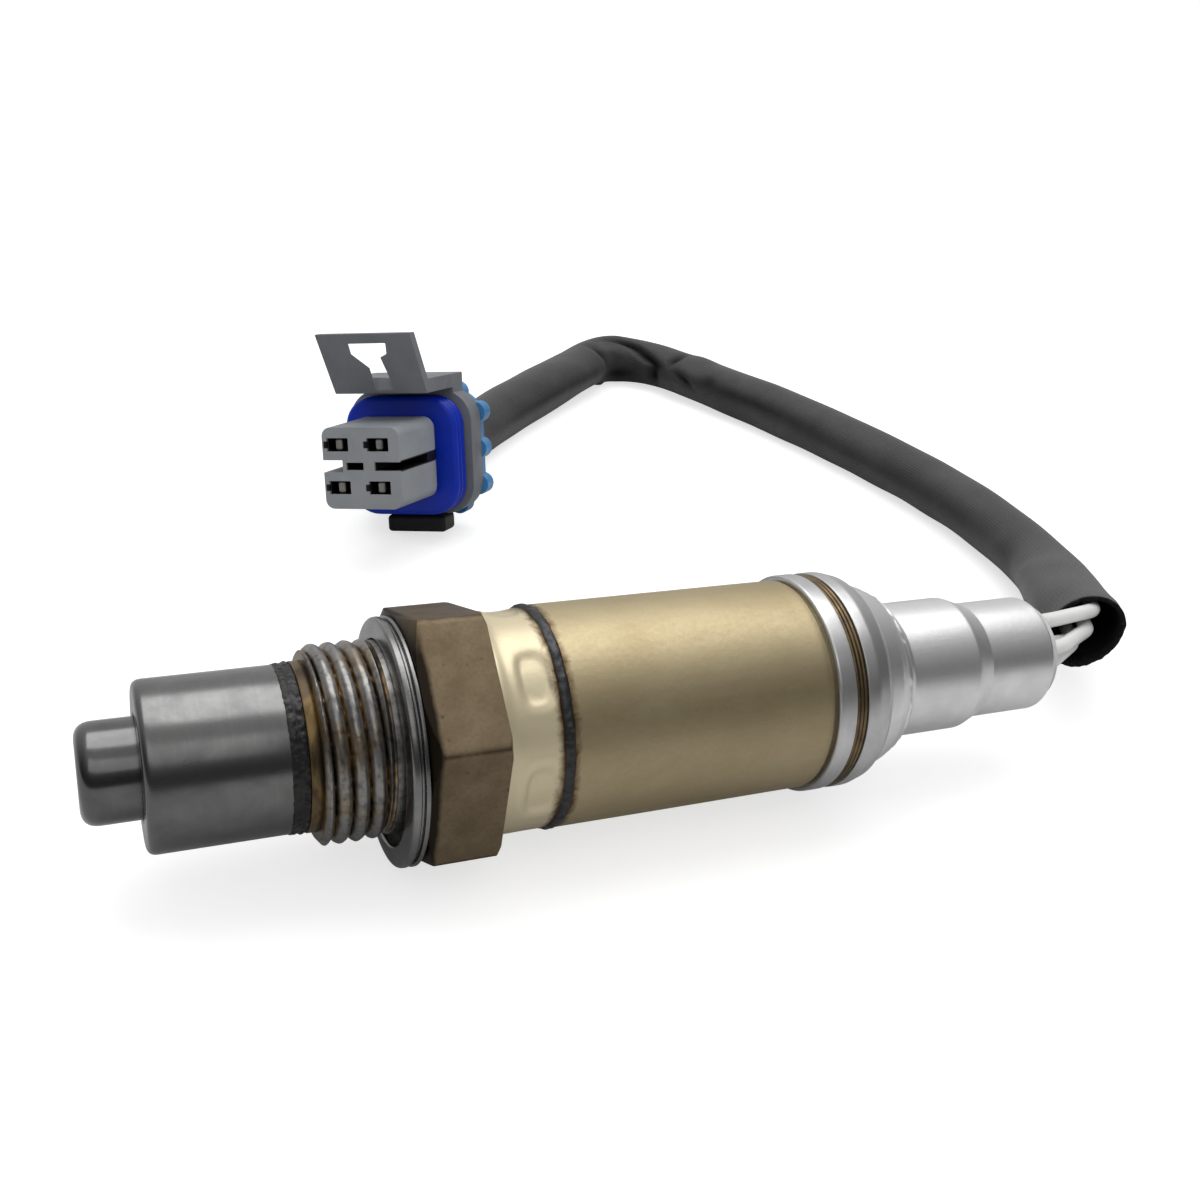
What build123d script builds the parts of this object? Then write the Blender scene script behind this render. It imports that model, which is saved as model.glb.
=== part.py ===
"""Oxygen sensor with a threaded shell, a shielded zirconia element and a sleeved lead that ends in a
sealed four-way connector. Millimetres, +X along the sensor's axis from the tip towards the lead, +Z up,
origin on that axis at the hexagon's seat face. The assembly lies on the plane z = FLOOR_Z."""
import math
import os

from build123d import *

os.makedirs("parts", exist_ok=True)

# Fits between pieces
SNUG = 0.03  # radial play of a pressed, welded or crimped fit
LOOSE = 0.3  # gap between pieces that stay clear of each other

# Threaded shell
THREAD_R = 9.0  # standard M18 thread over its crests
THREAD_LEN = 8.3
LEAD_IN_LEN = 0.9
LEAD_IN_DROP = 0.9
NECK_R = 7.66
NECK_LEN = 1.0
HEX_ACROSS_FLATS = 22.0
HEX_LEN = 7.0
HEX_CHAMFER_R = 11.1
HEX_CHAMFER_SLOPE = 30.0
HEX_TURN = 8.65  # how far the lowest corner leans from straight down, towards +Y
BORE_NARROW_R = 4.7
BORE_SEAT_R = 6.2
BORE_WIDE_R = 7.6
SEAT_DEPTH = 6.5  # the element's seat, in front of the hexagon's face
STEP_DEPTH = 0.8  # where the bore widens, behind the hexagon's face
RELIEF_LEN = 2.2  # plain relief between the thread and the hexagon's face
RELIEF_DEPTH = 0.2
LIP_R = 6.0
LIP_LEN = 1.4
COLLAR_LEN = 5.3  # collar of the housing sleeve, behind the hexagon

# Gasket
GASKET_LEN = 2.0
GASKET_WALL = 2.0  # from its bore to its rim
GASKET_PLAY = 0.7  # radial play on the relief, by which the ring hangs low
GASKET_RIM_LEN = 0.45
GASKET_GROOVE_LEN = 0.35
GASKET_GROOVE_DEPTH = 0.45
GASKET_ROUND = 0.65

# Protection tubes
OUTER_TUBE_R = 7.52
OUTER_TUBE_WALL = 0.5
OUTER_TUBE_LEN = 11.8
OUTER_TUBE_ROUND = 0.9
GAS_GAP = 0.35
SEAM_LEN = 1.5
SEAM_PROUD = 0.14
SPIGOT_OVERLAP = 1.5  # how far the shell's spigot reaches into the outer tube
INNER_TUBE_R = 4.44
INNER_TUBE_WALL = 0.4
INNER_TUBE_PROUD = 4.9  # how far the inner tube stands out of the outer one
INNER_TUBE_ROUND = 1.55
INNER_TUBE_MOUTH_R = 1.1
INNER_TUBE_FLANGE_LEN = 0.4
GAS_HOLE_R = 0.8
GAS_HOLES = 6
GAS_HOLE_SETBACK = 3.2  # from the outer tube's front face

# Sensing element and its packing
ELEMENT_TIP_R = 2.6
ELEMENT_SHANK_R = 4.2
ELEMENT_FLANGE_LEN = 3.1
ELEMENT_TIP_GAP = 3.6  # from the inner tube's end
ELEMENT_REAR = 20.0
ELEMENT_BORE_R = 2.2
ELEMENT_END_WALL = 0.7
PACKING_LEN = 8.5
BUSH_LEN = 4.5
CLAMP_LEN = 1.2
HEATER_R = 1.5
HEATER_REACH = 11.0  # how far the heater stands out of the element's rear end

# Housing sleeve, ring and cap
SLEEVE_R = 10.62
SLEEVE_WALL = 0.95
SLEEVE_LEN = 26.6
COLLAR_STEP = 0.17  # of the barrel above the collar
FLARE_R = 10.75
FLARE_LEN = 1.0
REAR_SEAM_LEN = 1.0
REAR_SEAM_PROUD = 0.32
SPIGOT_WALL = 0.55
SPIGOT_LEN = 5.1
DENTS = 6
DENT_ANGLE = -81.9  # of one dent, from straight down towards +Y
DENT_SETBACK = 1.95  # dent centres, in front of the rear weld seam
DENT_DEPTH = 0.32
DENT_LEN = 3.5
RING_GAP = 0.3
RING_WALL = 0.85
RING_LEN = 6.5
RING_ROUND = 1.2
RING_BEVEL = 0.3
RING_LIP_WALL = 0.5
GROOVE_SETBACK = 1.9
GROOVE_LEN = 1.3
GROOVE_DEPTH = 0.4
BAND_PROUD = 0.3
CAP_WALL = 0.5
CAP_FLANGE_LEN = 0.5
CAP_SHOULDER_R = 9.65
CAP_R = 7.07
CAP_CONE_LEN = 4.8
CAP_LEN = 7.8
CAP_STEP_LEN = 2.7
CAP_NECK_R = 6.18
CAP_NECK_LEN = 8.0
CAP_MOUTH_R = 5.5
CAP_ROUND = 0.6

# Insulators and contacts
CERAMIC_LEN = 12.4
CERAMIC_R = 8.4
CERAMIC_BORE_R = 5.2
BUSHING_R = 8.6
BUSHING_BORE_R = 2.0
SPRING_LEN = 5.0
SPRING_SETBACK = 4.0
CONTACT_R = 4.2  # inner face of each contact strip, from the axis
CONTACT_THICK = 0.5
CONTACT_WIDTH = 2.4
CLIP_WALL = 0.5
CLIP_LEN = 4.0
BARREL_LEN = 5.0
BARREL_WALL = 0.45
BARREL_SETBACK = 5.0  # from the bushing's rear face
WIRE_PITCH_R = 2.95
WIRE_R = 0.85
WIRE_ANGLE = 68.0
WIRES = 4
WIRE_SEAT = 1.5  # how far each wire starts inside its barrel

# Grommet
GROMMET_FRONT_GAP = 0.7  # behind the contact barrels
GROMMET_PROUD = 1.2
GROMMET_ROUND = 0.5

# Lead
LEAD_D = 8.8
LEAD_RUN_SHARE = 0.45

# Wires between grommet and lead, and between lead and connector
WIRE_STRAIGHT = 3.0  # from the grommet to the corner of each wire's route
WIRE_END_RUN = 3.6  # from the next corner to the lead's mouth
WIRE_BUNDLE_R = 2.2  # of the wires' centres inside the lead
TAIL_STRAIGHT = 1.9  # from the rear seal to the corner of each tail wire's route
TAIL_END_RUN = 2.2  # from the next corner to the lead's far end

# Connector, seen from its mating face: width, height, and depth away from that face
FACE_CENTRE = (10.38, 60.09, 2.4)
FACE_ACROSS = (0.8051, -0.5698, 0.1649)
FACE_OUTWARD = (-0.5928, -0.7830, 0.1883)
BLOCK_W = 10.65
BLOCK_H = 10.7
BLOCK_LEN = 12.4
BLOCK_ROUND = 1.2
BLOCK_TAPER = 0.9
CORE_W = 10.2
CORE_H = 10.2
CAVITY_W = 3.0
CAVITY_H = 1.75
CAVITY_PITCH_X = 5.6
CAVITY_PITCH_Y = 5.63
CAVITY_SHIFT_X = -0.38
CAVITY_SHIFT_Y = 0.26
NOTCH_DEPTH = 2.7
NOTCH_H = 1.6
NOTCH_LEN = 11.0
MID_SLOT_W = 2.4
MID_SLOT_H = 1.0
MID_SLOT_X = -0.9
SIDE_SLOT_H = 1.15
SIDE_SLOT_IN = 3.5
SIDE_SLOT_LEN = 9.6
SEAL_W = 16.4
SEAL_H = 16.6
SEAL_ROUND = 4.2
SEAL_LEN = 4.0
SEAL_GAP = 1.3
SEAL_RIBS = 3
SEAL_RIB_DEPTH = 0.5
SEAL_DROP = 0.15
FLANGE_W = 18.3
FLANGE_H = 17.6
FLANGE_ROUND = 4.4
FLANGE_LEN = 4.1
FLANGE_EDGE = 0.6
SHELF_W = 13.2
SHELF_SHIFT = 0.1
SHELF_THICK = 1.95
SHELF_REACH = 10.0
SHELF_CLEAR = 0.75  # over the seal
LATCH_RISE = 8.1
LATCH_LEAN = 5.2
LATCH_THICK = 1.6
WINDOW_W = 5.0
WINDOW_H = 1.8
WINDOW_DROP = 1.5
WINDOW_STEM_W = 1.9
WINDOW_STEM_H = 4.4
WINDOW_SHIFT = 0.15
LOCK_W = 9.75
LOCK_H = 2.16
LOCK_SHIFT = 1.32
LOCK_LEN = 4.4
LOCK_FRONT_GAP = 1.8  # from the front of the seal
REAR_W = 17.4
REAR_H = 16.8
REAR_ROUND = 4.2
REAR_LEN = 2.6
LOBE_R = 1.5
LOBES = 3
LOBE_PITCH = 5.2
PIN_W = 0.85
PIN_H = 1.3
PIN_SETBACK = 0.9
PIN_TUBE_W = 1.9
PIN_TUBE_H = 1.6
PIN_TUBE_SETBACK = 4.0
PIN_BARREL_LEN = 4.0

# Stations along the sensor's axis
HEX_CORNER_R = HEX_ACROSS_FLATS / 2 / math.cos(math.radians(30))
FLOOR_Z = -HEX_CORNER_R * math.cos(math.radians(HEX_TURN))
thread_front = -THREAD_LEN
neck_front = thread_front - NECK_LEN
outer_rear = neck_front - SEAM_LEN
outer_front = outer_rear - OUTER_TUBE_LEN
inner_front = outer_front - INNER_TUBE_PROUD
spigot_r = OUTER_TUBE_R - OUTER_TUBE_WALL - SNUG
relief_r = THREAD_R - RELIEF_DEPTH
gasket_bore_r = relief_r + GASKET_PLAY
gasket_r = gasket_bore_r + GASKET_WALL
spigot_front = outer_rear - SPIGOT_OVERLAP
seat_x = -SEAT_DEPTH
flange_front = seat_x + INNER_TUBE_FLANGE_LEN
flange_rear = flange_front + ELEMENT_FLANGE_LEN
packing_rear = flange_rear + PACKING_LEN
bush_rear = packing_rear + BUSH_LEN
clamp_rear = bush_rear + CLAMP_LEN
shell_rear = clamp_rear + LIP_LEN
sleeve_bore_r = SLEEVE_R - SLEEVE_WALL
collar_r = SLEEVE_R - COLLAR_STEP
collar_rear = HEX_LEN + COLLAR_LEN
seam_rear = collar_rear + REAR_SEAM_LEN
sleeve_rear = seam_rear + SLEEVE_LEN
ring_front = sleeve_rear + RING_GAP
spigot_rear = sleeve_rear + SPIGOT_LEN
sleeve_spigot_r = sleeve_bore_r + SPIGOT_WALL
ring_wall_r = sleeve_spigot_r + SNUG
ring_r = ring_wall_r + RING_WALL
ring_rear = ring_front + RING_LEN
cap_flange_rear = spigot_rear + CAP_FLANGE_LEN
cap_front = ring_rear + CAP_CONE_LEN
step_front = cap_front + CAP_LEN
step_rear = step_front + CAP_STEP_LEN
cap_rear = step_rear + CAP_NECK_LEN
grommet_rear = cap_rear + GROMMET_PROUD
ceramic_rear = shell_rear + CERAMIC_LEN
barrel_front = spigot_rear + BARREL_SETBACK
barrel_rear = barrel_front + BARREL_LEN
grommet_front = barrel_rear + GROMMET_FRONT_GAP
contact_mid_r = CONTACT_R + CONTACT_THICK / 2
heater_front = inner_front + ELEMENT_TIP_GAP + ELEMENT_END_WALL + LOOSE
heater_rear = ELEMENT_REAR + HEATER_REACH


def turn(outline, mode=Mode.ADD):
    """Revolve a closed outline of (x, radius) points about the sensor's axis."""
    with BuildSketch(Plane.XY) as profile:
        with BuildLine():
            Polyline(*outline, close=True)
        make_face()
    return revolve(profile.sketch, axis=Axis.X, mode=mode)


def tube(front, rear, inner_r, outer_r, mode=Mode.ADD):
    """Add a plain tube between two stations of the axis."""
    return turn([(front, inner_r), (rear, inner_r), (rear, outer_r), (front, outer_r)], mode)


def rim_edges(part, x, radius):
    """Circular edges of a part at one station and radius."""
    return part.edges().filter_by(
        lambda e: e.geom_type == GeomType.CIRCLE
        and abs(e.radius - radius) < 1e-3
        and abs(e.arc_center.X - x) < 1e-3
    )


def keep(part, name):
    """Label a finished piece and write its file."""
    part.label = name
    export_step(part, f"parts/{name}.step")


# Inner protection tube: a cup round the element, with a mouth in its end and a flange at the seat
with BuildPart() as inner_tube:
    inner_bore_r = INNER_TUBE_R - INNER_TUBE_WALL
    turn([
        (inner_front, INNER_TUBE_MOUTH_R),
        (inner_front, INNER_TUBE_R),
        (seat_x, INNER_TUBE_R),
        (seat_x, BORE_SEAT_R - SNUG),
        (flange_front, BORE_SEAT_R - SNUG),
        (flange_front, inner_bore_r),
        (inner_front + INNER_TUBE_WALL, inner_bore_r),
        (inner_front + INNER_TUBE_WALL, INNER_TUBE_MOUTH_R),
    ])
    fillet(rim_edges(inner_tube.part, inner_front, INNER_TUBE_R), INNER_TUBE_ROUND)
    fillet(
        rim_edges(inner_tube.part, inner_front + INNER_TUBE_WALL, inner_bore_r),
        INNER_TUBE_ROUND - INNER_TUBE_WALL,
    )
    with Locations(Plane.YZ.offset(outer_front + 2 * GAS_HOLE_SETBACK)):
        with PolarLocations(inner_bore_r + INNER_TUBE_WALL / 2, GAS_HOLES):
            Cylinder(GAS_HOLE_R, INNER_TUBE_WALL * 4, rotation=(0, 90, 0), mode=Mode.SUBTRACT)
keep(inner_tube.part, "inner_protection_tube")

# Outer protection tube: a wider cup whose end is open round the inner tube
with BuildPart() as outer_tube:
    outer_bore_r = OUTER_TUBE_R - OUTER_TUBE_WALL
    gas_mouth_r = INNER_TUBE_R + GAS_GAP
    turn([
        (outer_front, gas_mouth_r),
        (outer_front, OUTER_TUBE_R),
        (outer_rear, OUTER_TUBE_R),
        (outer_rear, outer_bore_r),
        (outer_front + OUTER_TUBE_WALL, outer_bore_r),
        (outer_front + OUTER_TUBE_WALL, gas_mouth_r),
    ])
    fillet(rim_edges(outer_tube.part, outer_front, OUTER_TUBE_R), OUTER_TUBE_ROUND)
    fillet(
        rim_edges(outer_tube.part, outer_front + OUTER_TUBE_WALL, outer_bore_r),
        OUTER_TUBE_ROUND - OUTER_TUBE_WALL,
    )
keep(outer_tube.part, "outer_protection_tube")

# Weld seam that joins the outer tube to the shell's neck
with BuildPart() as front_seam:
    seam_r = OUTER_TUBE_R + SEAM_PROUD
    tube(outer_rear, neck_front, spigot_r + SNUG, seam_r)
    chamfer(rim_edges(front_seam.part, outer_rear, seam_r), SEAM_PROUD)
    chamfer(rim_edges(front_seam.part, neck_front, seam_r), SEAM_PROUD)
keep(front_seam.part, "front_weld_seam")

# Shell: spigot, neck, thread, hexagon and rear collar in one turned piece
with BuildPart() as shell:
    with BuildSketch(Plane.YZ):
        RegularPolygon(HEX_ACROSS_FLATS / 2, 6, major_radius=False, rotation=HEX_TURN - 90)
    extrude(amount=HEX_LEN)
    chamfer_run = (HEX_CORNER_R - HEX_CHAMFER_R) * math.tan(math.radians(HEX_CHAMFER_SLOPE))
    turn([
        (0, 0),
        (0, HEX_CHAMFER_R),
        (chamfer_run, HEX_CORNER_R),
        (HEX_LEN - chamfer_run / 3, HEX_CORNER_R),
        (HEX_LEN, HEX_CORNER_R - (HEX_CORNER_R - HEX_CHAMFER_R) / 3),
        (HEX_LEN, 0),
    ], Mode.INTERSECT)
    turn([
        (spigot_front, 0),
        (spigot_front, spigot_r),
        (neck_front, spigot_r),
        (neck_front, NECK_R),
        (thread_front, NECK_R),
        (thread_front, THREAD_R - LEAD_IN_DROP),
        (thread_front + LEAD_IN_LEN, THREAD_R),
        (-RELIEF_LEN, THREAD_R),
        (-RELIEF_LEN, relief_r),
        (HEX_LEN / 2, relief_r),
        (HEX_LEN / 2, sleeve_bore_r - SNUG),
        (shell_rear, sleeve_bore_r - SNUG),
        (shell_rear, 0),
    ])
    step_x = STEP_DEPTH
    turn([
        (spigot_front, 0),
        (spigot_front, BORE_NARROW_R),
        (seat_x, BORE_NARROW_R),
        (seat_x, BORE_SEAT_R),
        (step_x, BORE_SEAT_R),
        (step_x, BORE_WIDE_R),
        (clamp_rear, BORE_WIDE_R),
        (clamp_rear, LIP_R),
        (shell_rear, LIP_R),
        (shell_rear, 0),
    ], Mode.SUBTRACT)
keep(shell.part, "hex_shell")

# Gasket: a folded ring that hangs on the relief, its bulge in front of a thin rear rim
with BuildPart() as gasket:
    rim_front = -GASKET_RIM_LEN
    groove_front = rim_front - GASKET_GROOVE_LEN
    groove_r = gasket_r - GASKET_GROOVE_DEPTH
    turn([
        (-GASKET_LEN, gasket_bore_r),
        (-GASKET_LEN, gasket_r),
        (groove_front, gasket_r),
        (groove_front, groove_r),
        (rim_front, groove_r),
        (rim_front, gasket_r),
        (0, gasket_r),
        (0, gasket_bore_r),
    ])
    gasket_round = min(GASKET_ROUND, GASKET_WALL / 3)
    fillet(rim_edges(gasket.part, -GASKET_LEN, gasket_r), gasket_round)
    chamfer(rim_edges(gasket.part, -GASKET_LEN, gasket_bore_r), gasket_round / 2)
gasket_ring = gasket.part.moved(Location((0, 0, -GASKET_PLAY)))
keep(gasket_ring, "gasket_ring")

# Sensing element: a ceramic thimble with a closed tip, a seat flange and a plain shank
with BuildPart() as element:
    tip_x = inner_front + ELEMENT_TIP_GAP
    neck_x = flange_front - LOOSE
    shoulder_r = BORE_NARROW_R - INNER_TUBE_WALL - 2 * LOOSE
    turn([
        (tip_x, 0),
        (tip_x, ELEMENT_TIP_R),
        (seat_x, min(ELEMENT_SHANK_R, shoulder_r)),
        (flange_front, min(ELEMENT_SHANK_R, shoulder_r)),
        (flange_front, BORE_SEAT_R - LOOSE),
        (flange_rear, BORE_SEAT_R - LOOSE),
        (flange_rear, ELEMENT_SHANK_R),
        (ELEMENT_REAR, ELEMENT_SHANK_R),
        (ELEMENT_REAR, 0),
    ])
    fillet(rim_edges(element.part, tip_x, ELEMENT_TIP_R), ELEMENT_TIP_R * 0.8)
    bore_tip_r = ELEMENT_TIP_R - ELEMENT_END_WALL
    turn([
        (tip_x + ELEMENT_END_WALL, 0),
        (tip_x + ELEMENT_END_WALL, bore_tip_r),
        (seat_x, ELEMENT_BORE_R),
        (ELEMENT_REAR, ELEMENT_BORE_R),
        (ELEMENT_REAR, 0),
    ], Mode.SUBTRACT)
keep(element.part, "sensing_element")

# Heater: a ceramic rod down the element's bore
with BuildPart() as heater:
    tube(heater_front, heater_rear, 0, HEATER_R)
    chamfer(rim_edges(heater.part, heater_front, HEATER_R), HEATER_R / 3)
keep(heater.part, "heater_rod")

# Packing behind the element's flange, stepped like the bore
with BuildPart() as packing:
    turn([
        (flange_rear, ELEMENT_SHANK_R + SNUG),
        (flange_rear, BORE_SEAT_R - SNUG),
        (step_x, BORE_SEAT_R - SNUG),
        (step_x, BORE_WIDE_R - SNUG),
        (packing_rear, BORE_WIDE_R - SNUG),
        (packing_rear, ELEMENT_SHANK_R + SNUG),
    ])
keep(packing.part, "seal_packing")

# Ceramic bush and metal ring that the crimped lip presses on the packing
with BuildPart() as bush:
    tube(packing_rear, bush_rear, ELEMENT_SHANK_R + SNUG, BORE_WIDE_R - SNUG)
keep(bush.part, "support_bush")

with BuildPart() as clamp:
    tube(bush_rear, clamp_rear, ELEMENT_SHANK_R + LOOSE, BORE_WIDE_R - SNUG)
    chamfer(rim_edges(clamp.part, clamp_rear, BORE_WIDE_R - SNUG), CLAMP_LEN / 3)
keep(clamp.part, "clamp_ring")

# Housing sleeve: a crimped collar behind the hexagon, a long barrel and a spigot inside the ring
with BuildPart() as sleeve:
    turn([
        (HEX_LEN, sleeve_bore_r),
        (HEX_LEN, FLARE_R),
        (HEX_LEN + FLARE_LEN, collar_r),
        (seam_rear, collar_r),
        (seam_rear, SLEEVE_R),
        (sleeve_rear, SLEEVE_R),
        (sleeve_rear, sleeve_spigot_r),
        (spigot_rear, sleeve_spigot_r),
        (spigot_rear, sleeve_bore_r),
    ])
    dent_tool_r = (DENT_LEN**2 / 4 + DENT_DEPTH**2) / (2 * DENT_DEPTH)
    with Locations(Plane.YZ.offset(collar_rear - DENT_SETBACK)):
        with PolarLocations(collar_r - DENT_DEPTH + dent_tool_r, DENTS, DENT_ANGLE - 90):
            Cylinder(dent_tool_r, 2 * DENT_LEN, rotation=(90, 0, 0), mode=Mode.SUBTRACT)
keep(sleeve.part, "housing_sleeve")

# Weld seam between collar and barrel
with BuildPart() as rear_seam:
    tube(collar_rear, seam_rear, collar_r, SLEEVE_R - SNUG)
    rear_seam_r = collar_r + REAR_SEAM_PROUD
    tube(collar_rear, seam_rear - SNUG, collar_r, rear_seam_r)
    chamfer(rim_edges(rear_seam.part, collar_rear, rear_seam_r), REAR_SEAM_PROUD / 2)
keep(rear_seam.part, "rear_weld_seam")

# Retaining ring: grooved outside, turned in over the cap's flange at the rear
with BuildPart() as ring:
    lip_r = CAP_SHOULDER_R + SNUG
    groove_x = ring_front + GROOVE_SETBACK
    turn([
        (ring_front, ring_wall_r),
        (ring_front, ring_r - RING_BEVEL),
        (ring_front + RING_BEVEL, ring_r),
        (groove_x, ring_r),
        (groove_x, ring_r - GROOVE_DEPTH),
        (groove_x + GROOVE_LEN, ring_r - GROOVE_DEPTH),
        (groove_x + GROOVE_LEN, ring_r),
        (ring_rear, ring_r),
        (ring_rear, lip_r),
        (cap_flange_rear, lip_r),
        (cap_flange_rear, ring_wall_r),
    ])
    ring_round = min(RING_ROUND, (ring_r - lip_r) * 0.9)
    fillet(rim_edges(ring.part, ring_rear, ring_r), ring_round)
keep(ring.part, "retaining_ring")

# Band that lies in the ring's groove
with BuildPart() as band:
    tube(groove_x, groove_x + GROOVE_LEN, ring_r - GROOVE_DEPTH, ring_r - GROOVE_DEPTH + BAND_PROUD)
keep(band.part, "vent_band")

# Rear cap: flange, cone, body, stepped neck and a rolled mouth, drawn from one sheet
with BuildPart() as cap:
    body_x = cap_front
    outer_line = [
        (spigot_rear, sleeve_spigot_r),
        (cap_flange_rear, sleeve_spigot_r),
        (cap_flange_rear, CAP_SHOULDER_R),
        (ring_rear, CAP_SHOULDER_R),
        (body_x, CAP_R),
        (step_front, CAP_R),
        (step_rear, CAP_NECK_R),
        (cap_rear, CAP_NECK_R),
        (cap_rear, CAP_MOUTH_R),
    ]
    inner_line = [
        (cap_rear - CAP_WALL, CAP_MOUTH_R),
        (cap_rear - CAP_WALL, CAP_NECK_R - CAP_WALL),
        (step_rear - CAP_WALL / 4, CAP_NECK_R - CAP_WALL),
        (step_front - CAP_WALL / 4, CAP_R - CAP_WALL),
        (body_x - CAP_WALL / 4, CAP_R - CAP_WALL),
        (ring_rear - CAP_WALL / 4, CAP_SHOULDER_R - CAP_WALL),
        (spigot_rear, CAP_SHOULDER_R - CAP_WALL),
    ]
    turn(outer_line + inner_line)
    fillet(rim_edges(cap.part, cap_rear, CAP_NECK_R), CAP_ROUND)
    for bend_x, bend_r in ((body_x, CAP_R), (step_front, CAP_R), (step_rear, CAP_NECK_R)):
        fillet(rim_edges(cap.part, bend_x, bend_r), 2 * CAP_WALL)
keep(cap.part, "rear_cap")

# Ceramic sleeve round the contact clips, seated on the shell's rear end
with BuildPart() as ceramic:
    tube(shell_rear, ceramic_rear, CERAMIC_BORE_R, CERAMIC_R)
    chamfer(rim_edges(ceramic.part, shell_rear, CERAMIC_R), CERAMIC_R / 20)
keep(ceramic.part, "ceramic_sleeve")

# Contact bushing: an insulator with one channel for each contact strip
with BuildPart() as bushing:
    tube(ceramic_rear, spigot_rear, BUSHING_BORE_R, BUSHING_R)
    with Locations(Plane.YZ.offset(ceramic_rear)):
        with PolarLocations(contact_mid_r, WIRES, WIRE_ANGLE):
            Box(
                CONTACT_THICK + 2 * LOOSE,
                CONTACT_WIDTH + 2 * LOOSE,
                2 * (spigot_rear - ceramic_rear),
                mode=Mode.SUBTRACT,
            )
keep(bushing.part, "contact_bushing")

# Spring ring that holds the bushing in the sleeve
with BuildPart() as spring:
    spring_rear = spigot_rear - SPRING_SETBACK
    tube(spring_rear - SPRING_LEN, spring_rear, BUSHING_R + SNUG, sleeve_bore_r - SNUG)
keep(spring.part, "bushing_spring")


def contact(angle, clip_inner_r, clip_x, foot_x):
    """One contact strip with its foot, its wire barrel and the clip that grips the ceramic."""
    clip_outer_r = clip_inner_r + CLIP_WALL
    with BuildPart() as strip:
        if clip_x is not None:
            tube(clip_x - CLIP_LEN, clip_x, clip_inner_r, clip_outer_r)
        with BuildSketch(Plane.YZ.offset(foot_x)):
            with PolarLocations((clip_inner_r + CONTACT_R + CONTACT_THICK) / 2, 1, angle):
                Rectangle(CONTACT_R + CONTACT_THICK - clip_inner_r, CONTACT_WIDTH)
        extrude(amount=-CONTACT_THICK)
        with BuildSketch(Plane.YZ.offset(foot_x - CONTACT_THICK)):
            with PolarLocations(contact_mid_r, 1, angle):
                Rectangle(CONTACT_THICK, CONTACT_WIDTH)
        extrude(amount=barrel_front + CONTACT_WIDTH - foot_x + CONTACT_THICK)
        with BuildSketch(Plane.YZ.offset(barrel_front)):
            with PolarLocations(WIRE_PITCH_R, 1, angle):
                Circle(CONTACT_R - WIRE_PITCH_R + BARREL_WALL / 4)
        extrude(amount=BARREL_LEN)
        with BuildSketch(Plane.YZ.offset(barrel_front)):
            with PolarLocations(WIRE_PITCH_R, 1, angle):
                Circle(WIRE_R + SNUG)
        extrude(amount=BARREL_LEN, mode=Mode.SUBTRACT)
    return strip.part


# Contacts: one clip inside the element's bore, one round its shank, and two fingers on the heater
signal_x = ELEMENT_REAR + LOOSE + CONTACT_THICK
ground_x = ELEMENT_REAR - LOOSE
heater_x = signal_x + 2 * CONTACT_THICK
contact_plan = {
    "signal_terminal": (HEATER_R + SNUG, signal_x, signal_x),
    "ground_terminal": (ELEMENT_SHANK_R + SNUG, ground_x, ground_x),
    "heater_terminal_1": (HEATER_R + SNUG, None, heater_x),
    "heater_terminal_2": (HEATER_R + SNUG, None, heater_x),
}
for place, (name, (clip_inner_r, clip_x, foot_x)) in enumerate(contact_plan.items()):
    keep(contact(WIRE_ANGLE + place * 360 / WIRES, clip_inner_r, clip_x, foot_x), name)

# Grommet: a plug in the cap's neck with a bore for each wire
with BuildPart() as grommet:
    grommet_r = CAP_NECK_R - CAP_WALL - SNUG
    nose_r = CAP_MOUTH_R - SNUG
    turn([
        (grommet_front, 0),
        (grommet_front, grommet_r),
        (cap_rear - CAP_WALL, grommet_r),
        (cap_rear - CAP_WALL, nose_r),
        (grommet_rear, nose_r),
        (grommet_rear, 0),
    ])
    fillet(rim_edges(grommet.part, grommet_rear, nose_r), GROMMET_ROUND)
    with BuildSketch(Plane.YZ.offset(grommet_front)):
        with PolarLocations(WIRE_PITCH_R, WIRES, WIRE_ANGLE):
            Circle(WIRE_R + SNUG)
    extrude(amount=grommet_rear - grommet_front, mode=Mode.SUBTRACT)
keep(grommet.part, "grommet")

# Connector. Its sketches lie on planes parallel to the mating face, each at a depth behind it
mating_face = Plane(origin=FACE_CENTRE, x_dir=FACE_ACROSS, z_dir=FACE_OUTWARD)
seal_front = BLOCK_LEN + SEAL_GAP
seal_rear = seal_front + SEAL_LEN
flange_rear_depth = seal_rear + FLANGE_LEN
rear_seal_depth = flange_rear_depth + REAR_LEN
lock_front = seal_front + LOCK_FRONT_GAP
shelf_low = SEAL_H / 2 + SHELF_CLEAR
shelf_top = shelf_low + SHELF_THICK
shelf_front = seal_rear - SHELF_REACH
cavity_signs = [(-1, 1), (1, 1), (-1, -1), (1, -1)]


def at_depth(depth):
    """Plane parallel to the mating face, this far behind it."""
    return mating_face.offset(-depth)


def cavity_centre(column, row):
    """Centre of one cavity on the mating face, from the signs of its column and row."""
    return (
        CAVITY_SHIFT_X + column * CAVITY_PITCH_X / 2,
        CAVITY_SHIFT_Y + row * CAVITY_PITCH_Y / 2,
    )


def cut_cavities(width, height, front, rear):
    """Cut the four cavities through the open part between two depths."""
    with BuildSketch(at_depth(front)) as openings:
        with Locations([cavity_centre(column, row) for column, row in cavity_signs]):
            Rectangle(width, height)
    extrude(openings.sketch, amount=front - rear, mode=Mode.SUBTRACT)


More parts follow.
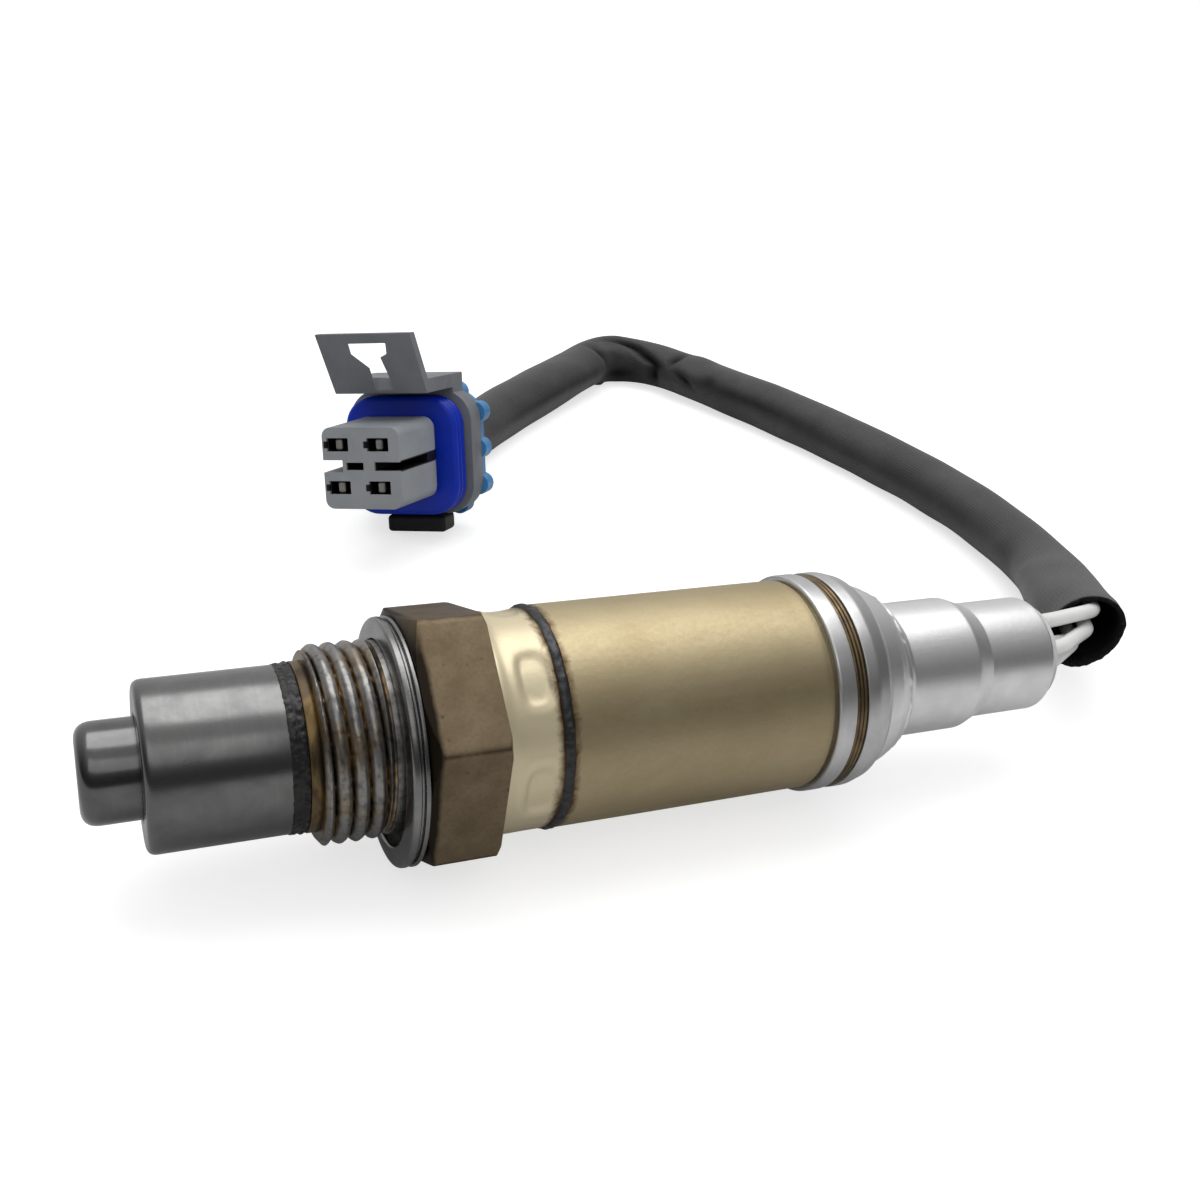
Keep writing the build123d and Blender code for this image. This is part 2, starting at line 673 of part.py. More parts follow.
# Front block: the tapered nose with its cavities and slots, and the core inside the seal
with BuildPart() as block:
    with BuildSketch(at_depth(0)):
        RectangleRounded(BLOCK_W, BLOCK_H, BLOCK_ROUND)
    extrude(amount=-BLOCK_LEN, taper=-BLOCK_TAPER)
    with BuildSketch(at_depth(BLOCK_LEN)):
        RectangleRounded(CORE_W, CORE_H, BLOCK_ROUND)
    extrude(amount=BLOCK_LEN - seal_rear)
    cut_cavities(CAVITY_W, CAVITY_H, 0, seal_rear)
    with BuildSketch(at_depth(0)):
        with Locations((-BLOCK_W / 2, CAVITY_SHIFT_Y)):
            Rectangle(2 * NOTCH_DEPTH, NOTCH_H)
    extrude(amount=-NOTCH_LEN, mode=Mode.SUBTRACT)
    with BuildSketch(at_depth(0)):
        with Locations((MID_SLOT_X, CAVITY_SHIFT_Y)):
            Rectangle(MID_SLOT_W, MID_SLOT_H)
        with Locations((BLOCK_W / 2, CAVITY_SHIFT_Y)):
            Rectangle(2 * SIDE_SLOT_IN, SIDE_SLOT_H)
    extrude(amount=-SIDE_SLOT_LEN, mode=Mode.SUBTRACT)
keep(block.part, "connector_block")

# Seal: a soft ring round the core with raised ribs
with BuildPart() as seal:
    rib_len = SEAL_LEN / (2 * SEAL_RIBS - 1)
    for step in range(2 * SEAL_RIBS - 1):
        inset = SEAL_RIB_DEPTH if step % 2 else 0
        with BuildSketch(at_depth(seal_front + step * rib_len)):
            with Locations((0, -SEAL_DROP)):
                RectangleRounded(SEAL_W - 2 * inset, SEAL_H - 2 * inset, SEAL_ROUND - inset)
        extrude(amount=-rib_len)
    with BuildSketch(at_depth(seal_front)):
        RectangleRounded(CORE_W + 2 * SNUG, CORE_H + 2 * SNUG, BLOCK_ROUND + SNUG)
    extrude(amount=-SEAL_LEN, mode=Mode.SUBTRACT)
keep(seal.part, "connector_seal")

# Housing: the flange behind the seal, the shelf over it and the slanted latch plate with its window
with BuildPart() as housing:
    with BuildSketch(at_depth(seal_rear)):
        RectangleRounded(FLANGE_W, FLANGE_H, FLANGE_ROUND)
    extrude(amount=-FLANGE_LEN)
    with BuildSketch(at_depth(seal_rear)):
        with Locations((SHELF_SHIFT, shelf_top / 2)):
            Rectangle(SHELF_W, shelf_top)
    extrude(amount=-FLANGE_LEN)
    with BuildSketch(at_depth(shelf_front)):
        with Locations((SHELF_SHIFT, shelf_low + SHELF_THICK / 2)):
            Rectangle(SHELF_W, SHELF_THICK)
    extrude(amount=shelf_front - seal_rear)
    latch_len = math.hypot(LATCH_RISE, LATCH_LEAN)
    latch_tilt = math.degrees(math.atan2(LATCH_LEAN, LATCH_RISE))
    latch_foot = at_depth(shelf_front).location * Pos(SHELF_SHIFT, shelf_low, 0)
    latch_plane = Plane(latch_foot * Rot(latch_tilt, 0, 0))
    with BuildSketch(latch_plane):
        with Locations((0, latch_len / 2)):
            Rectangle(SHELF_W, latch_len)
    extrude(amount=-LATCH_THICK)
    with BuildSketch(latch_plane):
        with Locations((WINDOW_SHIFT, latch_len - WINDOW_DROP - WINDOW_H / 2)):
            Rectangle(WINDOW_W, WINDOW_H)
        with Locations((WINDOW_SHIFT, latch_len - WINDOW_DROP - WINDOW_H - WINDOW_STEM_H / 2)):
            Rectangle(WINDOW_STEM_W, WINDOW_STEM_H)
    extrude(amount=-2 * LATCH_THICK, mode=Mode.SUBTRACT)
    cut_cavities(CAVITY_W, CAVITY_W, seal_rear, flange_rear_depth)
keep(housing.part, "connector_housing")

# Lock block under the flange
with BuildPart() as lock:
    with BuildSketch(at_depth(lock_front)):
        with Locations((LOCK_SHIFT, -FLANGE_H / 2 - LOCK_H / 2)):
            Rectangle(LOCK_W, LOCK_H)
    extrude(amount=-LOCK_LEN)
keep(lock.part, "lock_block")

# Rear seal: a soft pad behind the flange, with lobes that bulge at its edges
with BuildPart() as rear_seal:
    with BuildSketch(at_depth(flange_rear_depth)):
        RectangleRounded(REAR_W, REAR_H, REAR_ROUND)
        with GridLocations(REAR_W - LOBE_R / 2, LOBE_PITCH, 2, LOBES):
            Circle(LOBE_R)
        with GridLocations(LOBE_PITCH, REAR_H - LOBE_R / 2, LOBES, 2):
            Circle(LOBE_R)
    extrude(amount=-REAR_LEN)
    with BuildSketch(at_depth(flange_rear_depth)):
        with Locations([cavity_centre(column, row) for column, row in cavity_signs]):
            Circle(WIRE_R + SNUG)
    extrude(amount=-REAR_LEN, mode=Mode.SUBTRACT)
keep(rear_seal.part, "rear_seal")

# Terminals: a pin in each cavity, a square tube behind it and a crimped barrel on the wire
barrel_depth = flange_rear_depth - PIN_BARREL_LEN
for count, (column, row) in enumerate(cavity_signs, 1):
    centre = cavity_centre(column, row)
    with BuildPart() as terminal:
        with BuildSketch(at_depth(PIN_SETBACK)):
            with Locations(centre):
                Rectangle(PIN_W, PIN_H)
        extrude(amount=PIN_SETBACK - PIN_TUBE_SETBACK)
        with BuildSketch(at_depth(PIN_TUBE_SETBACK)):
            with Locations(centre):
                Rectangle(CAVITY_W - 2 * SNUG, CAVITY_H - 2 * SNUG)
        extrude(amount=PIN_TUBE_SETBACK - barrel_depth)
        with BuildSketch(at_depth(barrel_depth)):
            with Locations(centre):
                Circle(WIRE_R + BARREL_WALL)
                Circle(WIRE_R + SNUG, mode=Mode.SUBTRACT)
        extrude(amount=-PIN_BARREL_LEN)
    keep(terminal.part, f"plug_terminal_{count}")

# Lead: centres of its route on the plane it lies on, from the mouth by the cap to the connector
LEAD_LOW_Z = FLOOR_Z + LEAD_D / 2
lead_route = [
    (82.0, 3.5, 0.0),
    (92.5, 17.0, -4.0),
    (103.2, 33.0, LEAD_LOW_Z),
    (106.2, 50.5, LEAD_LOW_Z),
    (105.8, 68.0, LEAD_LOW_Z),
    (102.6, 89.0, LEAD_LOW_Z),
    (97.4, 109.0, LEAD_LOW_Z),
    (92.6, 122.5, LEAD_LOW_Z),
    (88.4, 133.6, LEAD_LOW_Z),
    (83.0, 139.0, LEAD_LOW_Z),
    (75.8, 139.2, LEAD_LOW_Z),
    (68.0, 131.8, LEAD_LOW_Z),
    (56.5, 119.9, LEAD_LOW_Z),
    (45.6, 108.9, LEAD_LOW_Z),
    (37.2, 99.4, LEAD_LOW_Z),
    (31.9, 91.4, -7.0),
    (28.9, 84.4, -4.3),
]


def route_radii(points):
    """Radius of the arc at each inner point: a share of its shorter run over the tangent of half its turn."""
    runs = [Vector(*b) - Vector(*a) for a, b in zip(points, points[1:])]
    return [
        LEAD_RUN_SHARE * min(one.length, two.length) / math.tan(math.radians(one.get_angle(two)) / 2)
        for one, two in zip(runs, runs[1:])
    ]


def cord(points, diameter):
    """Round cord along straight runs joined by tangent arcs, with its length."""
    radii = route_radii(points)
    with BuildPart() as line:
        with BuildLine() as path:
            FilletPolyline(*points, radius=radii)
        centreline = path.wire()
        with BuildSketch(Plane(origin=centreline @ 0, z_dir=centreline % 0)):
            Circle(diameter / 2)
        sweep(path=centreline)
    return line.part, centreline.length, radii


lead_solid, lead_length, lead_radii = cord(lead_route, LEAD_D)
keep(lead_solid, "lead_sleeve")
lead_section = math.pi * LEAD_D**2 / 4
print("lead length", round(lead_length, 1), "radii", [round(r, 1) for r in lead_radii])
print("lead volume over section times length", round(lead_solid.volume / (lead_section * lead_length), 4))

# Wires: straight through barrel and grommet, then over into the lead's mouth
mouth = Vector(*lead_route[0])
into_mouth = (Vector(*lead_route[1]) - mouth).normalized()
mouth_plane = Plane(origin=mouth, x_dir=(-into_mouth.Y, into_mouth.X, 0), z_dir=into_mouth)
for place in range(WIRES):
    turned = math.radians(WIRE_ANGLE + place * 360 / WIRES)
    hole_y = WIRE_PITCH_R * math.cos(turned)
    hole_z = WIRE_PITCH_R * math.sin(turned)
    bundle_x = WIRE_BUNDLE_R * math.cos(turned)
    bundle_y = WIRE_BUNDLE_R * math.sin(turned)
    stop = mouth_plane.from_local_coords(Vector(bundle_x, bundle_y, -LOOSE))
    wire_route = [
        (barrel_front + WIRE_SEAT, hole_y, hole_z),
        (grommet_rear + WIRE_STRAIGHT, hole_y, hole_z),
        tuple(stop - into_mouth * WIRE_END_RUN),
        tuple(stop),
    ]
    wire_solid, wire_length, wire_radii = cord(wire_route, 2 * WIRE_R)
    keep(wire_solid, f"wire_{place + 1}")
    print("wire", place + 1, round(wire_length, 1), [round(r, 1) for r in wire_radii])

# Wires between the lead's far end and the connector's terminals
far_end = Vector(*lead_route[-1])
out_of_lead = (far_end - Vector(*lead_route[-2])).normalized()
far_plane = Plane(origin=far_end, x_dir=FACE_ACROSS, z_dir=out_of_lead)
bundle_side = WIRE_BUNDLE_R / math.sqrt(2)
for count, (column, row) in enumerate(cavity_signs, 1):
    across, up = cavity_centre(column, row)
    start_depth = barrel_depth + WIRE_SEAT
    leave_depth = rear_seal_depth + TAIL_STRAIGHT
    stop = far_plane.from_local_coords(Vector(column * bundle_side, row * bundle_side, LOOSE))
    tail_route = [
        tuple(mating_face.from_local_coords(Vector(across, up, -start_depth))),
        tuple(mating_face.from_local_coords(Vector(across, up, -leave_depth))),
        tuple(stop + out_of_lead * TAIL_END_RUN),
        tuple(stop),
    ]
    tail_solid, tail_length, tail_radii = cord(tail_route, 2 * WIRE_R)
    keep(tail_solid, f"tail_wire_{count}")
    print("tail wire", count, round(tail_length, 1), [round(r, 1) for r in tail_radii])
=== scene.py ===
"""Oxygen sensor on its CAD frame: plated metal sensor, braided lead and sealed four-way connector.

Every length in the classes is in millimetres, as in the part's source, and becomes metres in the mesh.
The sensor's axis is X, from its tip towards the lead, and Z is up.
"""

import logging
import math
from dataclasses import dataclass, field
from enum import Enum

import bpy
import bmesh
import numpy as np
from mathutils import Matrix, Vector


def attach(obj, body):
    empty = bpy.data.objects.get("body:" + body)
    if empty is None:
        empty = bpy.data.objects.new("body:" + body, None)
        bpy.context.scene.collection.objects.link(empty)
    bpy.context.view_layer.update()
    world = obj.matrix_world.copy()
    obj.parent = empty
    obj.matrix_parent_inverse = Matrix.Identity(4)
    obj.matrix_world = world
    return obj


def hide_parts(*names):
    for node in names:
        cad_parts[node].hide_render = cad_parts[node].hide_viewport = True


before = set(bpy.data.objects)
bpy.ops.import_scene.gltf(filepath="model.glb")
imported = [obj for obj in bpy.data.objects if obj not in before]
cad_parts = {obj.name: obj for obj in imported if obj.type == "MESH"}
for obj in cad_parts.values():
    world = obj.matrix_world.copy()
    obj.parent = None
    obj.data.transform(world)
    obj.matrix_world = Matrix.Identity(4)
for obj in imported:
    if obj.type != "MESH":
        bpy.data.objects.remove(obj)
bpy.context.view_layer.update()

log = logging.getLogger("sensor")
MM = 0.001
AROUND = 288  # points in a ring, a multiple of six, so that each corner of the hexagon falls on one
EDGE_ANGLE = math.radians(40)  # edges that turn by more are rounded and shown sharp
FLOOR_Z = -12.557
VIEW_RIGHT = (0.9236, -0.3730, 0.0881)
VIEW_UP = (0.0910, 0.4366, 0.8951)
FACE = (10.38, 60.09, 2.4)  # middle of the connector's mating face
OUTWARD = (-0.5928, -0.7830, 0.1883)  # direction out of the mating face
CAVITY_MIDDLE = (-0.38, 0.26)  # middle of the four cavities, across and up the face
CAVITY_STEP = (2.8, 2.815)  # from there to the centre of each cavity
LEAD_END = (28.9, 84.4, -4.3)  # end of the lead behind the connector
Socket = bpy.types.NodeSocket
Piece = bpy.types.Object
Colour = tuple[float, float, float]


class Shading(Enum):
    """How a finished mesh is shaded."""

    SMOOTH = 180.0
    EDGED = 32.0


# Mesh building
def new_object(name: str, data: bpy.types.ID) -> Piece:
    """Object that holds the data, linked into the scene."""
    made = bpy.data.objects.new(name, data)
    bpy.context.scene.collection.objects.link(made)
    return made


def add_mesh(name: str, vertices: np.ndarray, quads: np.ndarray, triangles: np.ndarray | None = None,
             uv: np.ndarray | None = None, shading: Shading = Shading.EDGED) -> Piece:
    """Put vertices and faces into a new object that rides on the sensor.

    The volume is the sum of the triangles' corner products over six: where it is negative, all faces are turned round.

    Args:
        name: Name of the object and its mesh.
        vertices: Points in millimetres, one row each.
        quads: Four vertex numbers a face.
        triangles: Three vertex numbers a face, or None.
        uv: Two coordinates for each corner of the quads, or None.
        shading: Which edges stay sharp.

    Returns:
        The object, at the origin, unturned and unscaled.
    """
    triangles = np.zeros((0, 3), int) if triangles is None else triangles
    corner = np.asarray(vertices)[np.vstack([quads[:, :3], quads[:, [0, 2, 3]], triangles])]
    if np.sum(corner[:, 0] * np.cross(corner[:, 1], corner[:, 2])) < 0:
        quads, triangles = quads[:, ::-1], triangles[:, ::-1]
        uv = uv.reshape(-1, 4, 2)[:, ::-1].reshape(-1, 2) if uv is not None else None
    mesh = bpy.data.meshes.new(name)
    loops = np.concatenate([quads.ravel(), triangles.ravel()])
    sizes = np.concatenate([np.full(len(quads), 4), np.full(len(triangles), 3)])
    mesh.vertices.add(len(vertices))
    mesh.vertices.foreach_set("co", np.asarray(vertices, np.float32).ravel() * MM)
    mesh.loops.add(len(loops))
    mesh.loops.foreach_set("vertex_index", loops.astype(np.int32))
    mesh.polygons.add(len(sizes))
    mesh.polygons.foreach_set("loop_start", (np.cumsum(sizes) - sizes).astype(np.int32))
    mesh.update(calc_edges=True)
    mesh.validate()
    if uv is not None:
        layer = mesh.uv_layers.new(name="run")
        corners = np.zeros((len(loops), 2), np.float32)
        corners[: len(uv)] = uv
        layer.data.foreach_set("uv", corners.ravel())
    mesh.shade_smooth()
    if shading is Shading.EDGED:
        mesh.set_sharp_from_angle(angle=math.radians(shading.value))
    piece = new_object(name, mesh)
    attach(piece, "root")
    return piece


def grid_faces(rows: int, columns: int, close_rows: bool) -> np.ndarray:
    """Quads of a grid whose rows are rings: each joins a point to the next in its ring and in the next ring.

    Args:
        rows: Number of rings.
        columns: Number of points in a ring.
        close_rows: Whether the last ring joins the first.

    Returns:
        Vertex numbers, four a quad.
    """
    row, column = np.meshgrid(np.arange(rows if close_rows else rows - 1), np.arange(columns), indexing="ij")
    after_row, after_column = (row + 1) % rows, (column + 1) % columns
    corners = [row * columns + column, row * columns + after_column,
               after_row * columns + after_column, after_row * columns + column]
    return np.stack(corners, -1).reshape(-1, 4)


def add_grid(name: str, points: np.ndarray, close_rows: bool = False, capped: bool = False,
             uv_size: tuple[float, float] | None = None, shading: Shading = Shading.EDGED) -> Piece:
    """Make a closed skin from a grid whose rows are rings.

    Args:
        name: Name of the piece.
        points: Rows, ring points and three coordinates, in millimetres.
        close_rows: Whether the last ring joins the first, as on a turned ring.
        capped: Whether the first and last rings are closed by a fan to their middle.
        uv_size: Length and girth that the map covers, in millimetres.
        shading: Which edges stay sharp.

    Returns:
        The piece.
    """
    rows, columns = points.shape[:2]
    vertices = points.reshape(-1, 3)
    quads = grid_faces(rows, columns, close_rows)
    triangles = None
    if capped:
        ring = np.arange(columns)
        after = (ring + 1) % columns
        last = (rows - 1) * columns
        first_pole, last_pole = len(vertices), len(vertices) + 1
        vertices = np.vstack([vertices, points[0].mean(0), points[-1].mean(0)])
        triangles = np.vstack([
            np.stack([after, ring, np.full(columns, first_pole)], -1),
            np.stack([last + ring, last + after, np.full(columns, last_pole)], -1),
        ])
    uv = None
    if uv_size:
        row, column = np.meshgrid(np.arange(rows - 1), np.arange(columns), indexing="ij")
        along = np.stack([row, row, row + 1, row + 1], -1) / (rows - 1) * uv_size[0]
        round_it = np.stack([column, column + 1, column + 1, column], -1) / columns * uv_size[1]
        uv = np.stack([along, round_it], -1).reshape(-1, 2)
    return add_mesh(name, vertices, quads, triangles, uv, shading)


def soften(outline: list[tuple[float, float, float]], steps: int = 5) -> np.ndarray:
    """Round the corners of a closed outline.

    Each corner point gives way to a curve between two points on its sides, at a distance of its round
    times the tangent of half its turn. The curve is the quadratic one whose middle control is the corner.

    Args:
        outline: Station, radius and round of each corner, in millimetres.
        steps: Points on each rounded corner.

    Returns:
        Stations and radii, one row each.
    """
    data = np.array(outline, float)
    corner, size = data[:, :2], data[:, 2]
    before, after = np.roll(corner, 1, 0) - corner, np.roll(corner, -1, 0) - corner
    run_before, run_after = np.linalg.norm(before, axis=1), np.linalg.norm(after, axis=1)
    before, after = before / run_before[:, None], after / run_after[:, None]
    turn_half = (np.pi - np.arccos(np.clip((before * after).sum(1), -1, 1))) / 2
    reach = np.minimum(size * np.tan(turn_half), 0.48 * np.minimum(run_before, run_after))
    first, last = corner + before * reach[:, None], corner + after * reach[:, None]
    t = np.linspace(0, 1, steps)[None, :, None]
    curve = (1 - t) ** 2 * first[:, None] + 2 * t * (1 - t) * corner[:, None] + t**2 * last[:, None]
    points = curve.reshape(-1, 2)
    gap = np.linalg.norm(points - np.roll(points, 1, 0), axis=1)
    return points[gap > 1e-5]


def densify(outline: np.ndarray, longest: float) -> np.ndarray:
    """Divide the sides of a closed outline so that none is longer than a given length.

    Args:
        outline: Stations and radii, one row each.
        longest: Longest side in millimetres.

    Returns:
        Stations and radii with the added points.
    """
    end = np.roll(outline, -1, 0)
    pieces = np.maximum(np.ceil(np.linalg.norm(end - outline, axis=1) / longest).astype(int), 1)
    side = np.repeat(np.arange(len(outline)), pieces)
    step = np.arange(len(side)) - np.repeat(np.cumsum(pieces) - pieces, pieces)
    share = (step / pieces[side])[:, None]
    return outline[side] * (1 - share) + end[side] * share


def circle(count: int) -> np.ndarray:
    """Angles of the points of a ring, in radians."""
    return np.linspace(0, 2 * np.pi, count, endpoint=False)


def turned(name: str, outline: np.ndarray, rise: float = 0.0, around: int = AROUND) -> Piece:
    """Turn a closed outline about the sensor's axis.

    A point at station x and radius r becomes x, r times the cosine and r times the sine of each angle.

    Args:
        name: Name of the piece.
        outline: Stations and radii, one row each, closed, either way round.
        rise: Shift of the axis in Z.
        around: Points in each ring.

    Returns:
        The piece.
    """
    area = np.sum(outline[:, 0] * np.roll(outline[:, 1], -1) - np.roll(outline[:, 0], -1) * outline[:, 1])
    outline = outline[::-1] if area > 0 else outline
    points = ring_points(outline[:, :1], outline[:, 1:], circle(around))
    return add_grid(name, points + (0.0, 0.0, rise), close_rows=True)


def unit(vector: np.ndarray) -> np.ndarray:
    """The vector at length one."""
    return vector / np.linalg.norm(vector)


def ring_points(station: np.ndarray, radius: np.ndarray, angle: np.ndarray) -> np.ndarray:
    """Points of rings about the sensor's axis: station, radius times cosine, radius times sine of the angle.

    Args:
        station: Stations, one row each or a full grid.
        radius: Radii, the same.
        angle: Angles, one row.

    Returns:
        Grid of points.
    """
    station, radius, angle = np.broadcast_arrays(station, radius, angle)
    return np.stack([station, radius * np.cos(angle), radius * np.sin(angle)], -1)


def waves(angle: np.ndarray, station: np.ndarray, seed: int, terms: int = 14, fastest: float = 40.0,
          along: float = 2.0) -> np.ndarray:
    """Irregular height on a turned surface: a sum of cosines round it and along it, from -1 to 1.

    Args:
        angle: Angles in radians.
        station: Stations in millimetres.
        seed: Seed of the random phases.
        terms: Number of cosines.
        fastest: Most waves round the part.
        along: Highest frequency along it, in radians a millimetre.

    Returns:
        Height at each point.
    """
    chance = np.random.default_rng(seed)
    total = np.zeros(np.broadcast(angle, station).shape)
    for round_it, length, phase in zip(chance.integers(1, fastest, terms), chance.uniform(-along, along, terms),
                                       chance.uniform(0, 2 * np.pi, terms)):
        total = total + np.cos(round_it * angle + length * station + phase)
    return total / math.sqrt(terms)


def bevelled_copy(node: str, name: str, width: float, segments: int = 3) -> Piece:
    """Copy a CAD node with its edges rounded, and let the copy stand for it.

    Args:
        node: Name of the CAD node.
        name: Name of the new piece.
        width: Width of the rounded edge in millimetres.
        segments: Facets across the rounded edge.

    Returns:
        The piece.
    """
    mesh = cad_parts[node].data.copy()
    mesh.name = name
    work = bmesh.new()
    work.from_mesh(mesh)
    bmesh.ops.remove_doubles(work, verts=work.verts, dist=2e-6)
    bmesh.ops.dissolve_limit(work, angle_limit=math.radians(1.0), verts=work.verts, edges=work.edges)
    work.to_mesh(mesh)
    work.free()
    mesh.materials.clear()
    piece = new_object(name, mesh)
    rounding = piece.modifiers.new("rounded edges", "BEVEL")
    rounding.width = width * MM
    rounding.segments = segments
    rounding.limit_method = "ANGLE"
    rounding.angle_limit = EDGE_ANGLE
    rounding.use_clamp_overlap = True
    rounding.harden_normals = True
    mesh.shade_smooth()
    mesh.set_sharp_from_angle(angle=EDGE_ANGLE)
    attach(piece, "root")
    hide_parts(node)
    return piece


# Finishes
class Graph:
    """Node tree of one material or of the world, with short calls for the nodes that are used."""

    def __init__(self, name: str, world: bpy.types.World | None = None) -> None:
        """Start a material with a shader and its output, or take the tree of a world."""
        self.material = world or bpy.data.materials.new(name)
        self.material.use_nodes = True
        self.tree = self.material.node_tree
        self.shader = self.tree.nodes.get("Principled BSDF")

    def node(self, kind: str, **settings: object) -> bpy.types.Node:
        """Add a node and set its fields."""
        made = self.tree.nodes.new(kind)
        for key, value in settings.items():
            setattr(made, key, value)
        return made

    def put(self, value: Socket | float | Colour, socket: Socket) -> None:
        """Link a socket to another, or write a plain value on it."""
        if isinstance(value, bpy.types.NodeSocket):
            self.tree.links.new(value, socket)
        elif isinstance(value, tuple) and len(value) == 3 and socket.type == "RGBA":
            socket.default_value = (*value, 1.0)
        else:
            socket.default_value = value

    def place(self, scale: Colour = (1.0, 1.0, 1.0), shift: Colour = (0.0, 0.0, 0.0),
              turn: Colour = (0.0, 0.0, 0.0), source: str = "Object") -> Socket:
        """Coordinates of the surface, shifted, turned and stretched."""
        mapping = self.node("ShaderNodeMapping", vector_type="POINT")
        mapping.inputs["Location"].default_value = shift
        mapping.inputs["Rotation"].default_value = turn
        mapping.inputs["Scale"].default_value = scale
        self.put(self.node("ShaderNodeTexCoord").outputs[source], mapping.inputs["Vector"])
        return mapping.outputs["Vector"]

    def noise(self, where: Socket, scale: float, detail: float = 4.0, rough: float = 0.5,
              warp: float = 0.0) -> Socket:
        """Cloudy value from 0 to 1 about 0.5."""
        made = self.node("ShaderNodeTexNoise")
        self.put(where, made.inputs["Vector"])
        for key, value in (("Scale", scale), ("Detail", detail), ("Roughness", rough), ("Distortion", warp)):
            made.inputs[key].default_value = value
        return made.outputs["Fac"]

    def cells(self, where: Socket, scale: float) -> Socket:
        """Distance to the nearest of scattered points."""
        made = self.node("ShaderNodeTexVoronoi")
        self.put(where, made.inputs["Vector"])
        made.inputs["Scale"].default_value = scale
        return made.outputs["Distance"]

    def ramp(self, value: Socket, *stops: tuple[float, float]) -> Socket:
        """Grey that follows a value through the given stops."""
        made = self.node("ShaderNodeValToRGB")
        self.put(value, made.inputs["Fac"])
        elements = made.color_ramp.elements
        while len(elements) < len(stops):
            elements.new(0.5)
        for element, (position, shade) in zip(elements, stops):
            element.position, element.color = position, (shade, shade, shade, 1.0)
        return made.outputs["Color"]

    def span(self, value: Socket, low: float, high: float, to_low: float = 0.0, to_high: float = 1.0) -> Socket:
        """Move a value from one range to another, held at the ends."""
        made = self.node("ShaderNodeMapRange")
        self.put(value, made.inputs["Value"])
        for key, number in (("From Min", low), ("From Max", high), ("To Min", to_low), ("To Max", to_high)):
            made.inputs[key].default_value = number
        return made.outputs["Result"]

    def sum(self, operation: str, one: Socket | float, two: Socket | float = 0.0) -> Socket:
        """Plain arithmetic on two values."""
        made = self.node("ShaderNodeMath", operation=operation)
        self.put(one, made.inputs[0])
        self.put(two, made.inputs[1])
        return made.outputs["Value"]

    def times(self, one: Socket | float, two: Socket | float) -> Socket:
        """Product of two values."""
        return self.sum("MULTIPLY", one, two)

    def plus(self, one: Socket | float, two: Socket | float) -> Socket:
        """Sum of two values."""
        return self.sum("ADD", one, two)

    def less(self, one: Socket | float, two: Socket | float) -> Socket:
        """First value less the second."""
        return self.sum("SUBTRACT", one, two)

    def reach(self, one: Socket, two: Socket) -> Socket:
        """Root of the sum of two squares."""
        return self.sum("SQRT", self.plus(self.times(one, one), self.times(two, two)))

    def mix(self, share: Socket | float, one: Socket | Colour, two: Socket | Colour) -> Socket:
        """Blend two colours by a share from 0 to 1."""
        made = self.node("ShaderNodeMix", data_type="RGBA")
        self.put(share, made.inputs[0])
        self.put(one, made.inputs[6])
        self.put(two, made.inputs[7])
        return made.outputs[2]

    def parts(self, where: Socket) -> list[Socket]:
        """Split coordinates into X, Y and Z."""
        made = self.node("ShaderNodeSeparateXYZ")
        self.put(where, made.inputs["Vector"])
        return [made.outputs[0], made.outputs[1], made.outputs[2]]

    def along_axes(self, origin: Colour, *axes: Colour) -> list[Socket]:
        """Distances from a point in millimetres along the given directions, in metres."""
        where = self.place(shift=tuple(-value * MM for value in origin))
        found = []
        for axis in axes:
            dot = self.node("ShaderNodeVectorMath", operation="DOT_PRODUCT")
            self.put(where, dot.inputs[0])
            dot.inputs[1].default_value = axis
            found.append(dot.outputs["Value"])
        return found

    def within(self, value: Socket, middle: float, half: float, soft: float = 0.04) -> Socket:
        """One where a distance lies within a half width of a middle, both in millimetres, and nought beyond."""
        off = self.sum("ABSOLUTE", self.less(value, middle * MM))
        return self.span(off, (half + soft) * MM, (half - soft) * MM)

    def radius(self) -> Socket:
        """Distance from the sensor's axis, in metres."""
        _, across, up = self.parts(self.place())
        return self.reach(across, up)

    def relief(self, *heights: tuple[Socket, float, float]) -> None:
        """Chain bump nodes into the shader: height, strength, and depth in millimetres."""
        normal = None
        for height, strength, depth in heights:
            made = self.node("ShaderNodeBump")
            self.put(height, made.inputs["Height"])
            made.inputs["Strength"].default_value = strength
            made.inputs["Distance"].default_value = depth * MM
            if normal is not None:
                self.put(normal, made.inputs["Normal"])
            normal = made.outputs["Normal"]
        self.put(normal, self.shader.inputs["Normal"])

    def set(self, **values: object) -> bpy.types.Material:
        """Write or link the shader's inputs, named with underscores, and return the material."""
        for key, value in values.items():
            self.put(value, self.shader.inputs[key.replace("_", " ")])
        return self.material


